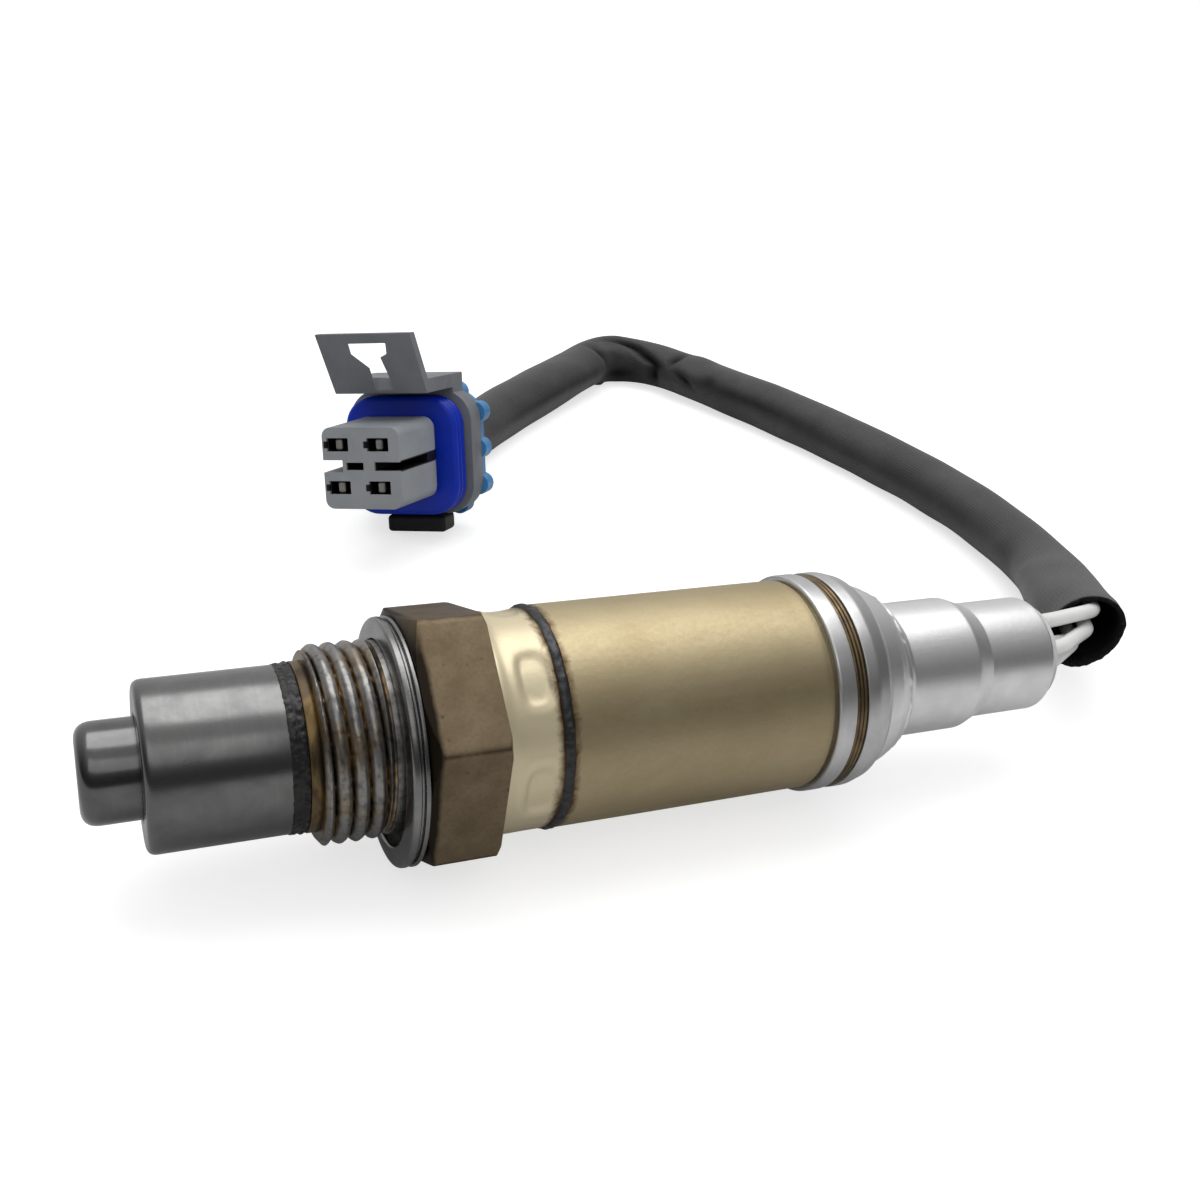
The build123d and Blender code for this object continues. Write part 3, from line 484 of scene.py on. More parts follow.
@dataclass(frozen=True)
class TurnedMetal:
    """Drawn or turned metal: lines round the axis, cloudy tarnish, fine scratches and soft grain."""

    name: str
    bright: Colour
    dull: Colour
    rough: tuple[float, float] = (0.22, 0.36)
    lines: float = 0.12
    grain: float = 0.1
    grain_scale: float = 5000.0
    cloud_scale: float = 220.0
    scratch: float = 0.25

    def make(self) -> bpy.types.Material:
        """Build the material."""
        g = Graph(self.name)
        clouds = g.noise(g.place(), self.cloud_scale, 6, 0.6, 0.4)
        rings = g.noise(g.place((1.0, 0.03, 0.03)), 2600, 3, 0.6)
        grain = g.noise(g.place(), self.grain_scale, 3, 0.55)
        scuffs = g.noise(g.place((0.16, 1.0, 1.0), turn=(0.0, 0.3, 0.2)), 2200, 2, 0.5, 0.3)
        scuff = g.span(scuffs, 0.64, 0.72)
        colour = g.mix(g.span(clouds, 0.35, 0.7), self.bright, self.dull)
        colour = g.mix(g.span(rings, 0.3, 0.7, 0.0, 0.25), colour, self.dull)
        colour = g.mix(g.times(scuff, self.scratch), colour, self.bright)
        wear = g.plus(g.span(clouds, 0.3, 0.7, *self.rough), g.times(scuff, 0.1 * self.scratch))
        g.relief((rings, self.lines, 0.02), (grain, self.grain, 0.02), (scuffs, 0.3 * self.scratch, 0.01))
        return g.set(Base_Color=colour, Metallic=1.0, Roughness=wear)


@dataclass(frozen=True)
class WeldBead:
    """Weld seam: rippled bead, burnt dark with brown heat colour at its edges."""

    name: str
    core: Colour
    edge: Colour
    middle: float
    half: float

    def make(self) -> bpy.types.Material:
        """Build the material; the heat colour follows the distance from the bead's middle."""
        g = Graph(self.name)
        along = g.parts(g.place())[0]
        off = g.sum("ABSOLUTE", g.less(along, self.middle * MM))
        share = g.span(off, 0.45 * self.half * MM, self.half * MM)
        blotch = g.noise(g.place(), 900, 5, 0.6)
        colour = g.mix(share, self.core, self.edge)
        colour = g.mix(g.span(blotch, 0.45, 0.75, 0.0, 0.6), colour, (0.02, 0.019, 0.02))
        ripple = g.noise(g.place(), 1500, 4, 0.6)
        g.relief((ripple, 0.5, 0.12), (g.noise(g.place(), 6000, 2), 0.25, 0.02))
        return g.set(Base_Color=colour, Metallic=0.9, Roughness=g.span(blotch, 0.3, 0.7, 0.28, 0.5))


@dataclass(frozen=True)
class PlatedShell:
    """Hexagon and thread: bronze matte flats, a painted dark line of shade along the corners, dark paste and brass in
    the thread.
    """

    name: str = "shell_finish"
    flat: Colour = (0.215, 0.165, 0.105)
    tarnish: Colour = (0.165, 0.122, 0.074)
    paste: Colour = (0.03, 0.029, 0.028)
    steel: Colour = (0.29, 0.283, 0.272)
    brass: Colour = (0.38, 0.262, 0.125)
    crest: float = 9.0
    root: float = 8.1
    hex_front: float = -0.3

    def make(self) -> bpy.types.Material:
        """Build the material: the thread's part lies in front of the hexagon and follows the radius."""
        g = Graph(self.name)
        where = g.place()
        along = g.parts(where)[0]
        radius = g.radius()
        cloud = g.noise(where, 320, 5, 0.55)
        speck = g.noise(where, 3000, 3, 0.6)
        nick = g.cells(where, 420)
        hexagon = g.mix(g.span(cloud, 0.38, 0.66), self.flat, self.tarnish)
        hexagon = g.mix(g.span(speck, 0.45, 0.8, 0.0, 0.4), hexagon, (0.1, 0.075, 0.045))
        hexagon = g.mix(g.span(nick, 0.1, 0.03, 0.0, 0.6), hexagon, (0.06, 0.042, 0.026))
        # painted shade: a thin dark line along the hexagon's corners, in patches that follow the clouds
        corner = g.span(radius, 12.52 * MM, 12.64 * MM)
        hexagon = g.mix(g.times(corner, g.span(cloud, 0.25, 0.5)), hexagon, (0.06, 0.044, 0.027))
        # painted shade and oily grime: the hexagon's front next to the gasket goes near black, with a ragged edge,
        # fading out only near its top
        grime_and_shade = g.plus(along, g.times(g.less(cloud, 0.5), 0.0009))
        grime_and_shade = g.times(g.span(grime_and_shade, 1.15 * MM, 0.7 * MM), g.span(g.parts(where)[2], 13.0 * MM, 10.5 * MM))
        hexagon = g.mix(g.times(grime_and_shade, 0.96), hexagon, (0.012, 0.009, 0.006))
        height = g.span(radius, self.root * MM, self.crest * MM)
        smear = g.noise(g.place((1.0, 0.3, 0.3)), 620, 4, 0.6, 0.5)
        patch = g.noise(where, 190, 3, 0.5)
        dirt = g.plus(g.times(smear, 0.6), g.times(patch, 0.5))
        flank = g.mix(g.span(dirt, 0.5, 0.6), self.brass, self.paste)
        thread = g.mix(g.span(height, 0.3, 0.62), flank, self.steel)
        worn = g.span(patch, 0.5, 0.62, 0.0, 0.55)
        thread = g.mix(worn, thread, g.mix(g.span(smear, 0.45, 0.6), self.brass, self.tarnish))
        thread = g.mix(g.span(g.noise(where, 1500, 4), 0.48, 0.72, 0.0, 0.6), thread, self.paste)
        neck = g.span(along, -8.15 * MM, -8.35 * MM)
        thread = g.mix(neck, thread, g.mix(g.span(smear, 0.42, 0.6), (0.2, 0.135, 0.06), (0.075, 0.055, 0.035)))
        behind = g.span(along, (self.hex_front - 0.05) * MM, self.hex_front * MM)
        colour = g.mix(behind, thread, hexagon)
        rough = g.plus(g.times(behind, 0.1), g.span(cloud, 0.3, 0.7, 0.3, 0.38))
        g.relief((speck, 0.12, 0.03), (g.noise(where, 6000, 2), 0.2, 0.02), (g.span(nick, 0.0, 0.12), 0.3, 0.04))
        return g.set(Base_Color=colour, Metallic=0.95, Roughness=rough)


@dataclass(frozen=True)
class GoldPlate:
    """Passivated barrel: satin gold with fine grain, faint streaks and darker clouds."""

    name: str = "sleeve_finish"
    bright: Colour = (0.5, 0.42, 0.264)
    dull: Colour = (0.43, 0.35, 0.21)
    burnt: Colour = (0.11, 0.07, 0.035)
    bead: float = 12.8

    def make(self) -> bpy.types.Material:
        """Build the material: heat colour spreads from the weld bead, and the collar is smoother, with a painted
        highlight in its lighter colour.
        """
        g = Graph(self.name)
        where = g.place()
        along = g.parts(where)[0]
        cloud = g.noise(g.place((0.6, 1.0, 1.0)), 150, 5, 0.55, 0.3)
        streak = g.noise(g.place((0.12, 1.0, 1.0)), 1500, 4, 0.6)
        grain = g.noise(where, 2300, 4, 0.62)
        stain = g.noise(where, 420, 5, 0.7, 0.8)
        colour = g.mix(g.span(cloud, 0.35, 0.68), self.bright, self.dull)
        colour = g.mix(g.span(streak, 0.5, 0.8, 0.0, 0.25), colour, self.dull)
        colour = g.mix(g.span(stain, 0.66, 0.76, 0.0, 0.3), colour, (0.24, 0.17, 0.09))
        collar = g.span(along, 12.4 * MM, 12.0 * MM)
        # painted highlight: the collar's lighter colour stands in for the brighter reflection of its smoother surface
        colour = g.mix(g.times(collar, 0.8), colour, (0.73, 0.64, 0.44))
        off = g.sum("ABSOLUTE", g.less(along, self.bead * MM))
        edge = g.plus(off, g.times(g.less(stain, 0.5), 0.0016))
        colour = g.mix(g.span(edge, 1.2 * MM, 0.45 * MM), colour, self.burnt)
        rough = g.less(g.span(grain, 0.3, 0.7, 0.46, 0.56), g.times(collar, 0.14))
        g.relief((grain, 0.34, 0.05), (streak, 0.05, 0.02), (stain, 0.08, 0.05))
        metal = g.less(1.0, g.times(collar, 0.45))
        return g.set(Base_Color=colour, Metallic=metal, Roughness=rough)


@dataclass(frozen=True)
class Braid:
    """Coated braided sleeving: a tight diagonal weave along the lead, dull black with pale rubbed yarns."""

    name: str = "lead_finish"
    deep: Colour = (0.006, 0.006, 0.0065)
    yarn: Colour = (0.03, 0.03, 0.031)
    # painted shade: near-black colour of the creases and dark bands, with a little grey fuzz
    painted_shade: Colour = (0.0025, 0.0022, 0.002)
    painted_shade_fuzz: Colour = (0.02, 0.02, 0.02)
    pitch: float = 0.62

    def make(self) -> bpy.types.Material:
        """Build the material: two sets of slanted waves over the map of the lead, and painted shade without gloss in
        creases, dark bands and the mouth.
        """
        g = Graph(self.name)
        where = g.place(source="UV")
        along, round_it, _ = g.parts(where)
        slanted = 2 * math.pi / self.pitch * 0.7071
        one = g.sum("SINE", g.times(g.plus(along, round_it), slanted))
        two = g.sum("SINE", g.times(g.less(along, round_it), slanted))
        weave = g.times(one, two)
        patch = g.noise(g.place(), 120, 5, 0.6, 0.3)
        fuzz = g.noise(g.place(), 3200, 4, 0.7)
        dust = g.noise(g.place(), 700, 6, 0.7, 0.5)
        colour = g.mix(g.span(weave, -0.6, 0.9), self.deep, self.yarn)
        colour = g.mix(g.span(patch, 0.42, 0.65, 0.0, 0.5), colour, (0.042, 0.042, 0.043))
        colour = g.mix(g.span(dust, 0.62, 0.8, 0.0, 0.25), colour, (0.09, 0.09, 0.09))
        # painted shade from the lead's attribute: creases, dark bands and the mouth go near black and lose their gloss
        painted_shade = g.node("ShaderNodeAttribute", attribute_name="painted_shade").outputs["Fac"]
        painted_shade_share = g.times(painted_shade, 0.9)
        colour = g.mix(painted_shade_share, colour, g.mix(g.span(fuzz, 0.55, 0.68), self.painted_shade, self.painted_shade_fuzz))
        open_share = g.less(1.0, g.times(painted_shade, 0.95))
        g.relief((weave, 0.16, 0.08), (fuzz, 0.3, 0.05), (patch, 0.1, 0.3))
        return g.set(Base_Color=colour, Roughness=g.span(fuzz, 0.3, 0.7, 0.46, 0.66),
                     Specular_IOR_Level=g.times(open_share, 0.5), Sheen_Weight=g.times(open_share, 0.15),
                     Sheen_Roughness=0.5)


@dataclass(frozen=True)
class Moulded:
    """Moulded plastic, rubber or ceramic: even colour with soft mottling, spark texture and slight gloss."""

    name: str
    colour: Colour
    shade: Colour
    rough: tuple[float, float] = (0.35, 0.5)
    texture: float = 0.12
    texture_scale: float = 4500.0
    specular: float = 0.5
    dust: Colour | None = None

    def make(self) -> bpy.types.Material:
        """Build the material."""
        g = Graph(self.name)
        where = g.place()
        mottle = g.noise(where, 180, 5, 0.55, 0.3)
        spark = g.noise(where, self.texture_scale, 3, 0.6)
        flow = g.noise(g.place((1.0, 0.35, 1.0)), 520, 4, 0.5)
        colour = g.mix(g.span(mottle, 0.35, 0.7), self.colour, self.shade)
        if self.dust:
            colour = g.mix(g.span(g.noise(where, 1100, 5, 0.7), 0.62, 0.8, 0.0, 0.35), colour, self.dust)
        g.relief((spark, self.texture, 0.03), (flow, 0.04, 0.05))
        rough = g.span(mottle, 0.3, 0.7, *self.rough)
        return g.set(Base_Color=colour, Roughness=rough, Specular_IOR_Level=self.specular)


@dataclass(frozen=True)
class DeepMetal:
    """Contact metal inside a cavity: tinned at its tip, with painted shade that darkens it the deeper it lies."""

    name: str = "terminal_finish"
    tip: Colour = (0.45, 0.44, 0.42)
    deep: Colour = (0.012, 0.012, 0.012)

    def make(self) -> bpy.types.Material:
        """Build the material: the shade follows the depth, which is the dot product with the face's direction."""
        g = Graph(self.name)
        depth = g.along_axes(FACE, OUTWARD)[0]
        mottle = g.noise(g.place(), 1600, 4, 0.6)
        # painted shade: near black from 1.3 mm behind the face, fading out by 0.6 mm
        share = g.span(depth, -1.3 * MM, -0.6 * MM)
        tip = g.mix(g.span(mottle, 0.35, 0.7), self.tip, (0.26, 0.255, 0.24))
        g.relief((mottle, 0.1, 0.02))
        colour = g.mix(share, self.deep, tip)
        return g.set(Base_Color=colour, Metallic=0.85, Roughness=g.span(mottle, 0.3, 0.7, 0.3, 0.45))


@dataclass(frozen=True)
class CavityPlastic:
    """Plastic of the cavity block: pale grey outside, with near-black painted shade inside its cavities and slots."""

    name: str = "block_finish"
    colour: Colour = (0.27, 0.285, 0.305)
    shade: Colour = (0.23, 0.243, 0.26)
    # painted shade: colour of the cavities, slots and key ways
    dark: Colour = (0.004, 0.004, 0.005)
    across: Colour = (0.8057, -0.5691, 0.1647)
    middle: tuple[float, float] = CAVITY_MIDDLE
    core_half: float = 4.8
    pitch: tuple[float, float] = (2 * CAVITY_STEP[0], CAVITY_STEP[1])

    def make(self) -> bpy.types.Material:
        """Build the material: painted shade turns what lies behind the face and within the walls black, and the key
        ways too.
        """
        g = Graph(self.name)
        upward = tuple(float(value) for value in np.cross(OUTWARD, self.across))
        x, y, depth = g.along_axes(FACE, self.across, upward, OUTWARD)
        where = g.place()
        mottle = g.noise(where, 180, 5, 0.55, 0.3)
        spark = g.noise(where, 5200, 3, 0.6)
        # painted shade: masks of the hollows behind the face, the side slot and the key ways
        behind = g.span(depth, -0.3 * MM, -0.6 * MM)
        slot_y = g.within(y, self.middle[1], 0.74)
        inside = g.times(g.within(x, 0.0, self.core_half), g.within(y, 0.0, self.core_half))
        notch = g.times(g.within(x, -4.5, 1.9), g.within(y, self.middle[1], 1.1))
        inside = g.times(inside, g.less(1.0, notch))
        slot = g.times(slot_y, g.span(x, 0.0, 0.3 * MM))
        hollow = g.times(behind, g.sum("MAXIMUM", inside, slot))
        turn = g.sum("MODULO", g.plus(x, (self.pitch[0] - self.middle[0]) * MM), self.pitch[0] * MM)
        row = g.sum("ABSOLUTE", g.less(y, self.middle[1] * MM))
        key = g.times(g.within(turn, 1.15, 0.3), g.within(row, self.pitch[1], 0.45))
        dark = g.sum("MAXIMUM", hollow, g.times(key, g.span(depth, -0.6 * MM, -0.4 * MM)))
        colour = g.mix(g.span(mottle, 0.35, 0.7), self.colour, self.shade)
        colour = g.mix(dark, colour, self.dark)
        g.relief((spark, 0.14, 0.03))
        return g.set(Base_Color=colour, Roughness=g.span(mottle, 0.3, 0.7, 0.42, 0.52), Specular_IOR_Level=0.25)


@dataclass(frozen=True)
class Finishes:
    """Every finish of the sensor, made once and handed to the classes that dress its pieces."""

    nose: TurnedMetal = TurnedMetal("nose_finish", (0.19, 0.19, 0.188), (0.13, 0.13, 0.13), (0.14, 0.21), 0.05)
    tube: TurnedMetal = TurnedMetal("tube_finish", (0.215, 0.215, 0.213), (0.145, 0.145, 0.144), (0.2, 0.28), 0.08,
                                    0.12)
    gasket: TurnedMetal = TurnedMetal("gasket_finish", (0.3, 0.298, 0.296), (0.17, 0.168, 0.166), (0.2, 0.3), 0.2)
    ring: TurnedMetal = TurnedMetal("ring_finish", (0.7, 0.7, 0.7), (0.53, 0.53, 0.53), (0.32, 0.42), 0.12, 0.3)
    cap: TurnedMetal = TurnedMetal("cap_finish", (0.93, 0.93, 0.93), (0.8, 0.8, 0.8), (0.33, 0.42), 0.05, 0.55, 3000)
    band: TurnedMetal = TurnedMetal("band_finish", (0.30, 0.22, 0.12), (0.10, 0.075, 0.05), (0.3, 0.45), 0.4)
    shell: PlatedShell = PlatedShell()
    sleeve: GoldPlate = GoldPlate()
    front_bead: WeldBead = WeldBead("front_weld_finish", (0.042, 0.042, 0.043), (0.045, 0.041, 0.038), -10.05, 0.75)
    rear_bead: WeldBead = WeldBead("rear_weld_finish", (0.06, 0.062, 0.068), (0.07, 0.042, 0.02), 12.8, 0.5)
    lead: Braid = Braid()
    # painted shade: a near-black copy of the braid lines the hollow inside the lead's ends
    lead_inside: Moulded = Moulded("lead_inside_finish", (0.003, 0.003, 0.003), (0.006, 0.006, 0.006), (0.7, 0.9), 0.5)
    wire: Moulded = Moulded("wire_finish", (0.74, 0.74, 0.73), (0.66, 0.66, 0.65), (0.18, 0.3), 0.05, 3000)
    grommet: Moulded = Moulded("grommet_finish", (0.56, 0.56, 0.55), (0.46, 0.46, 0.45), (0.45, 0.6), 0.15)
    housing: Moulded = Moulded("housing_finish", (0.165, 0.173, 0.188), (0.135, 0.142, 0.156), (0.4, 0.52), 0.14,
                               5200, 0.3, (0.2, 0.205, 0.21))
    block: CavityPlastic = CavityPlastic()
    seal: Moulded = Moulded("seal_finish", (0.0008, 0.024, 0.41), (0.0007, 0.019, 0.32), (0.28, 0.38), 0.06, 3000, 0.28)
    rear_seal: Moulded = Moulded("rear_seal_finish", (0.042, 0.225, 0.5), (0.032, 0.165, 0.38), (0.3, 0.42), 0.08)
    lock: Moulded = Moulded("lock_finish", (0.007, 0.007, 0.009), (0.012, 0.012, 0.014), (0.4, 0.5), 0.14, 4500, 0.25)
    contact: TurnedMetal = TurnedMetal("contact_finish", (0.5, 0.49, 0.46), (0.33, 0.32, 0.3), (0.25, 0.4), 0.05)
    terminal: DeepMetal = DeepMetal()
    zirconia: Moulded = Moulded("zirconia_finish", (0.62, 0.58, 0.50), (0.5, 0.46, 0.38), (0.4, 0.55), 0.2)
    ceramic: Moulded = Moulded("ceramic_finish", (0.74, 0.72, 0.68), (0.64, 0.62, 0.58), (0.5, 0.7), 0.3, 3000)
    heater: Moulded = Moulded("heater_finish", (0.55, 0.55, 0.53), (0.4, 0.4, 0.39), (0.4, 0.55), 0.15)
    talc: Moulded = Moulded("talc_finish", (0.58, 0.57, 0.53), (0.46, 0.45, 0.42), (0.8, 0.95), 0.6, 2000)
    clamp: TurnedMetal = TurnedMetal("clamp_finish", (0.45, 0.45, 0.44), (0.3, 0.3, 0.29), (0.3, 0.42), 0.2)
    made: dict[str, bpy.types.Material] = field(default_factory=dict)

    def get(self, name: str) -> bpy.types.Material:
        """The material of one finish, made the first time it is asked for."""
        if name not in self.made:
            self.made[name] = getattr(self, name).make()
        return self.made[name]

    def dress(self, piece: Piece, name: str, slot: str | None = None) -> Piece:
        """Give a piece one finish on all its faces.

        Args:
            piece: Mesh object.
            name: Name of the finish.
            slot: Material slot of the record for a new piece, or None for a CAD node.

        Returns:
            The piece.
        """
        if slot is None:
            for held in piece.material_slots:
                held.material = self.get(name)
        else:
            piece.data.materials.clear()
            piece.data.materials.append(self.get(name))
        log.info("%s dressed with %s", piece.name, name)
        return piece


# Studio
@dataclass
class Studio:
    """Camera at the photograph's angle, pale floor, soft lamps and a pale surround."""

    eye: Colour = (-27.37, -101.66, 66.00)
    forward: Colour = (0.3723, 0.8187, -0.4371)
    lens: float = 40.14
    floor_half: float = 2500.0
    sky: tuple[tuple[float, float], ...] = ((0.0, 0.06), (0.3, 0.1), (0.65, 0.3), (0.92, 0.7))
    behind: float = 0.75
    plain: float = 0.72

    def camera(self) -> Piece:
        """Place the camera from the axes found in the photograph.

        Returns:
            The camera.
        """
        data = bpy.data.cameras.new("photo_camera")
        data.lens, data.sensor_width, data.sensor_fit = self.lens, 36.0, "HORIZONTAL"
        data.clip_start, data.clip_end = 0.005, 20.0
        camera = new_object("photo_camera", data)
        axes = np.eye(4)
        axes[:3, 0], axes[:3, 1], axes[:3, 2] = VIEW_RIGHT, VIEW_UP, -np.array(self.forward)
        axes[:3, 3] = np.array(self.eye) * MM
        camera.matrix_world = Matrix(axes.tolist())
        bpy.context.scene.camera = camera
        return camera

    def floor(self) -> Piece:
        """Lay the floor, which shows white to the camera and keeps the shadow.

        Returns:
            The floor.
        """
        side = self.floor_half * MM
        mesh = bpy.data.meshes.new("floor")
        mesh.from_pydata([(-side, -side, 0), (side, -side, 0), (side, side, 0), (-side, side, 0)], [], [(0, 1, 2, 3)])
        mesh.transform(Matrix.Translation((0, 0, FLOOR_Z * MM)))
        floor = new_object("floor", mesh)
        g = Graph("floor_paper")
        g.set(Base_Color=(0.5, 0.5, 0.5), Roughness=0.9, Specular_IOR_Level=0.1)
        seen = g.node("ShaderNodeLightPath").outputs["Is Camera Ray"]
        across, along, _ = g.parts(g.place())
        far = g.reach(across, along)
        glow = g.node("ShaderNodeEmission")
        g.put(g.times(seen, g.span(far, 0.15, 0.42, 0.66, 1.0)), glow.inputs["Strength"])
        both = g.node("ShaderNodeAddShader")
        g.put(g.shader.outputs[0], both.inputs[0])
        g.put(glow.outputs[0], both.inputs[1])
        g.put(both.outputs[0], g.tree.nodes["Material Output"].inputs["Surface"])
        floor.data.materials.append(g.material)
        return floor

    def lamp(self, name: str, place: Colour, aim: Colour, size: tuple[float, float], power: float) -> Piece:
        """Add one soft lamp.

        Args:
            name: Name of the lamp.
            place: Its position in millimetres.
            aim: The point it faces, in millimetres.
            size: Its two sides in millimetres.
            power: Its power in watts.

        Returns:
            The lamp.
        """
        data = bpy.data.lights.new(name, "AREA")
        data.shape, data.size, data.size_y, data.energy = "RECTANGLE", size[0] * MM, size[1] * MM, power
        lamp = new_object(name, data)
        lamp.rotation_euler = (Vector(aim) - Vector(place)).to_track_quat("-Z", "Y").to_euler()
        lamp.location = tuple(np.array(place) * MM)
        return lamp

    def surround(self) -> None:
        """Light the scene from a pale surround, white to the camera and darker low down in front."""
        world = bpy.data.worlds.new("surround")
        bpy.context.scene.world = world
        g = Graph("surround", world)
        g.tree.nodes.clear()
        path = g.node("ShaderNodeLightPath")
        _, along, up = g.parts(g.node("ShaderNodeTexCoord").outputs["Generated"])
        inside, plain, white = (g.node("ShaderNodeBackground") for _ in range(3))
        g.put(g.plus(g.ramp(up, *self.sky), g.span(along, 0.0, 1.0, 0.0, self.behind)), inside.inputs["Strength"])
        g.put(self.plain, plain.inputs["Strength"])
        for background in (plain, white):
            g.put((1.0, 1.0, 1.0), background.inputs["Color"])
        lit, seen = g.node("ShaderNodeMixShader"), g.node("ShaderNodeMixShader")
        for blend, ray, one, two in ((lit, "Is Glossy Ray", plain, inside), (seen, "Is Camera Ray", lit, white)):
            for socket, value in enumerate((path.outputs[ray], one.outputs[0], two.outputs[0])):
                g.put(value, blend.inputs[socket])
        g.put(seen.outputs[0], g.node("ShaderNodeOutputWorld").inputs["Surface"])

    def build(self) -> None:
        """Build the whole studio."""
        bpy.context.scene.view_settings.view_transform = "Standard"
        self.camera()
        self.floor()
        self.surround()
        self.lamp("overhead_softbox", (60, 100, 340), (40, 20, 0), (460, 300), 0.85)
        self.lamp("front_fill", (-90, -300, 330), (30, 20, 0), (360, 220), 0.16)
        log.info("studio set")


# Sub-assemblies
@dataclass
class SubAssembly:
    """Group of pieces that is built and dressed together."""

    finishes: Finishes

    def stand(self, piece: Piece, node: str, finish: str, slot: str) -> Piece:
        """Let a piece stand for a CAD node, and give it its finish."""
        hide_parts(node)
        return self.finishes.dress(piece, finish, slot)


# Lead and wires
def spline_line(name: str, route: list[Colour], closeness: int = 24) -> np.ndarray:
    """Points along a smooth spline whose control points are a route.

    Args:
        name: Name of the helper curve, which is removed again.
        route: Control points in millimetres.
        closeness: Points for each control point.

    Returns:
        Points in millimetres, one row each.
    """
    curve = bpy.data.curves.new(name, "CURVE")
    curve.dimensions = "3D"
    curve.resolution_u = closeness
    spline = curve.splines.new("NURBS")
    spline.points.add(len(route) - 1)
    data = np.hstack([np.array(route, float) * MM, np.ones((len(route), 1))])
    spline.points.foreach_set("co", data.astype(np.float32).ravel())
    spline.order_u = 3
    spline.use_endpoint_u = True
    helper = new_object(name, curve)
    mesh = bpy.data.meshes.new_from_object(helper)
    points = np.zeros(len(mesh.vertices) * 3, np.float32)
    mesh.vertices.foreach_get("co", points)
    bpy.data.meshes.remove(mesh)
    bpy.data.objects.remove(helper)
    bpy.data.curves.remove(curve)
    return points.reshape(-1, 3).astype(float) / MM


def even_line(points: np.ndarray, gap: float) -> tuple[np.ndarray, np.ndarray]:
    """Space points evenly along a line.

    Args:
        points: Points of the line.
        gap: Wanted distance between points in millimetres.

    Returns:
        The even points, and the distance of each from the line's start.
    """
    run = np.concatenate([[0.0], np.cumsum(np.linalg.norm(np.diff(points, axis=0), axis=1))])
    even = np.linspace(0, run[-1], max(int(round(run[-1] / gap)), 2) + 1)
    return np.stack([np.interp(even, run, points[:, axis]) for axis in range(3)], -1), even


def frames_along(points: np.ndarray) -> tuple[np.ndarray, np.ndarray, np.ndarray]:
    """Directions along a line: its heading, and two directions square to it, one as near up as can be.

    Args:
        points: Points of the line.

    Returns:
        Heading, side and up at each point.
    """
    heading = np.gradient(points, axis=0)
    heading /= np.linalg.norm(heading, axis=1)[:, None]
    side = np.cross(heading, (0.0, 0.0, 1.0))
    side /= np.linalg.norm(side, axis=1)[:, None]
    return heading, side, np.cross(side, heading)


# Each fold: place along the lead, reach, height, painted shade, angle round it, slant, spread in degrees. The long, low
# ones near 170 degrees are painted dark bands along one side of the lead.
FOLDS = (
    (158.5, 1.2, -0.14, 0.75, 131.0, -0.25, 32.0), (147.5, 3.4, -0.20, 1.0, 118.0, -2.9, 18.0),
    (141.4, 2.8, -0.18, 1.0, 148.0, -2.1, 18.0), (138.6, 1.6, -0.20, 0.9, 188.0, 0.0, 28.0),
    (153.0, 3.0, 0.09, 0.0, 145.0, -1.5, 20.0), (151.0, 8.5, -0.04, 0.9, 202.0, 0.0, 22.0),
    (134.8, 1.3, -0.18, 0.85, 122.0, 0.25, 28.0), (129.9, 1.9, -0.14, 0.8, 173.0, -1.4, 17.0),
    (123.8, 2.0, -0.04, 0.5, 150.0, 0.0, 18.0), (131.5, 3.5, 0.10, 0.0, 72.0, 0.0, 40.0),
    (151.5, 3.5, 0.05, 0.0, 72.0, 0.0, 40.0), (155.7, 1.2, 0.16, 0.3, 250.0, 0.0, 18.0),
    (186.0, 24.0, -0.03, 0.6, 170.0, 0.0, 12.0), (112.0, 16.0, -0.03, 0.55, 164.0, 0.0, 12.0),
    (84.0, 17.0, -0.02, 0.4, 176.0, 0.0, 14.0), (58.0, 14.0, 0.0, 0.35, 170.0, 0.0, 24.0),
    (26.0, 4.0, 0.05, 0.0, 160.0, 0.4, 50.0), (38.0, 4.0, -0.05, 0.3, 170.0, -0.5, 40.0),
)


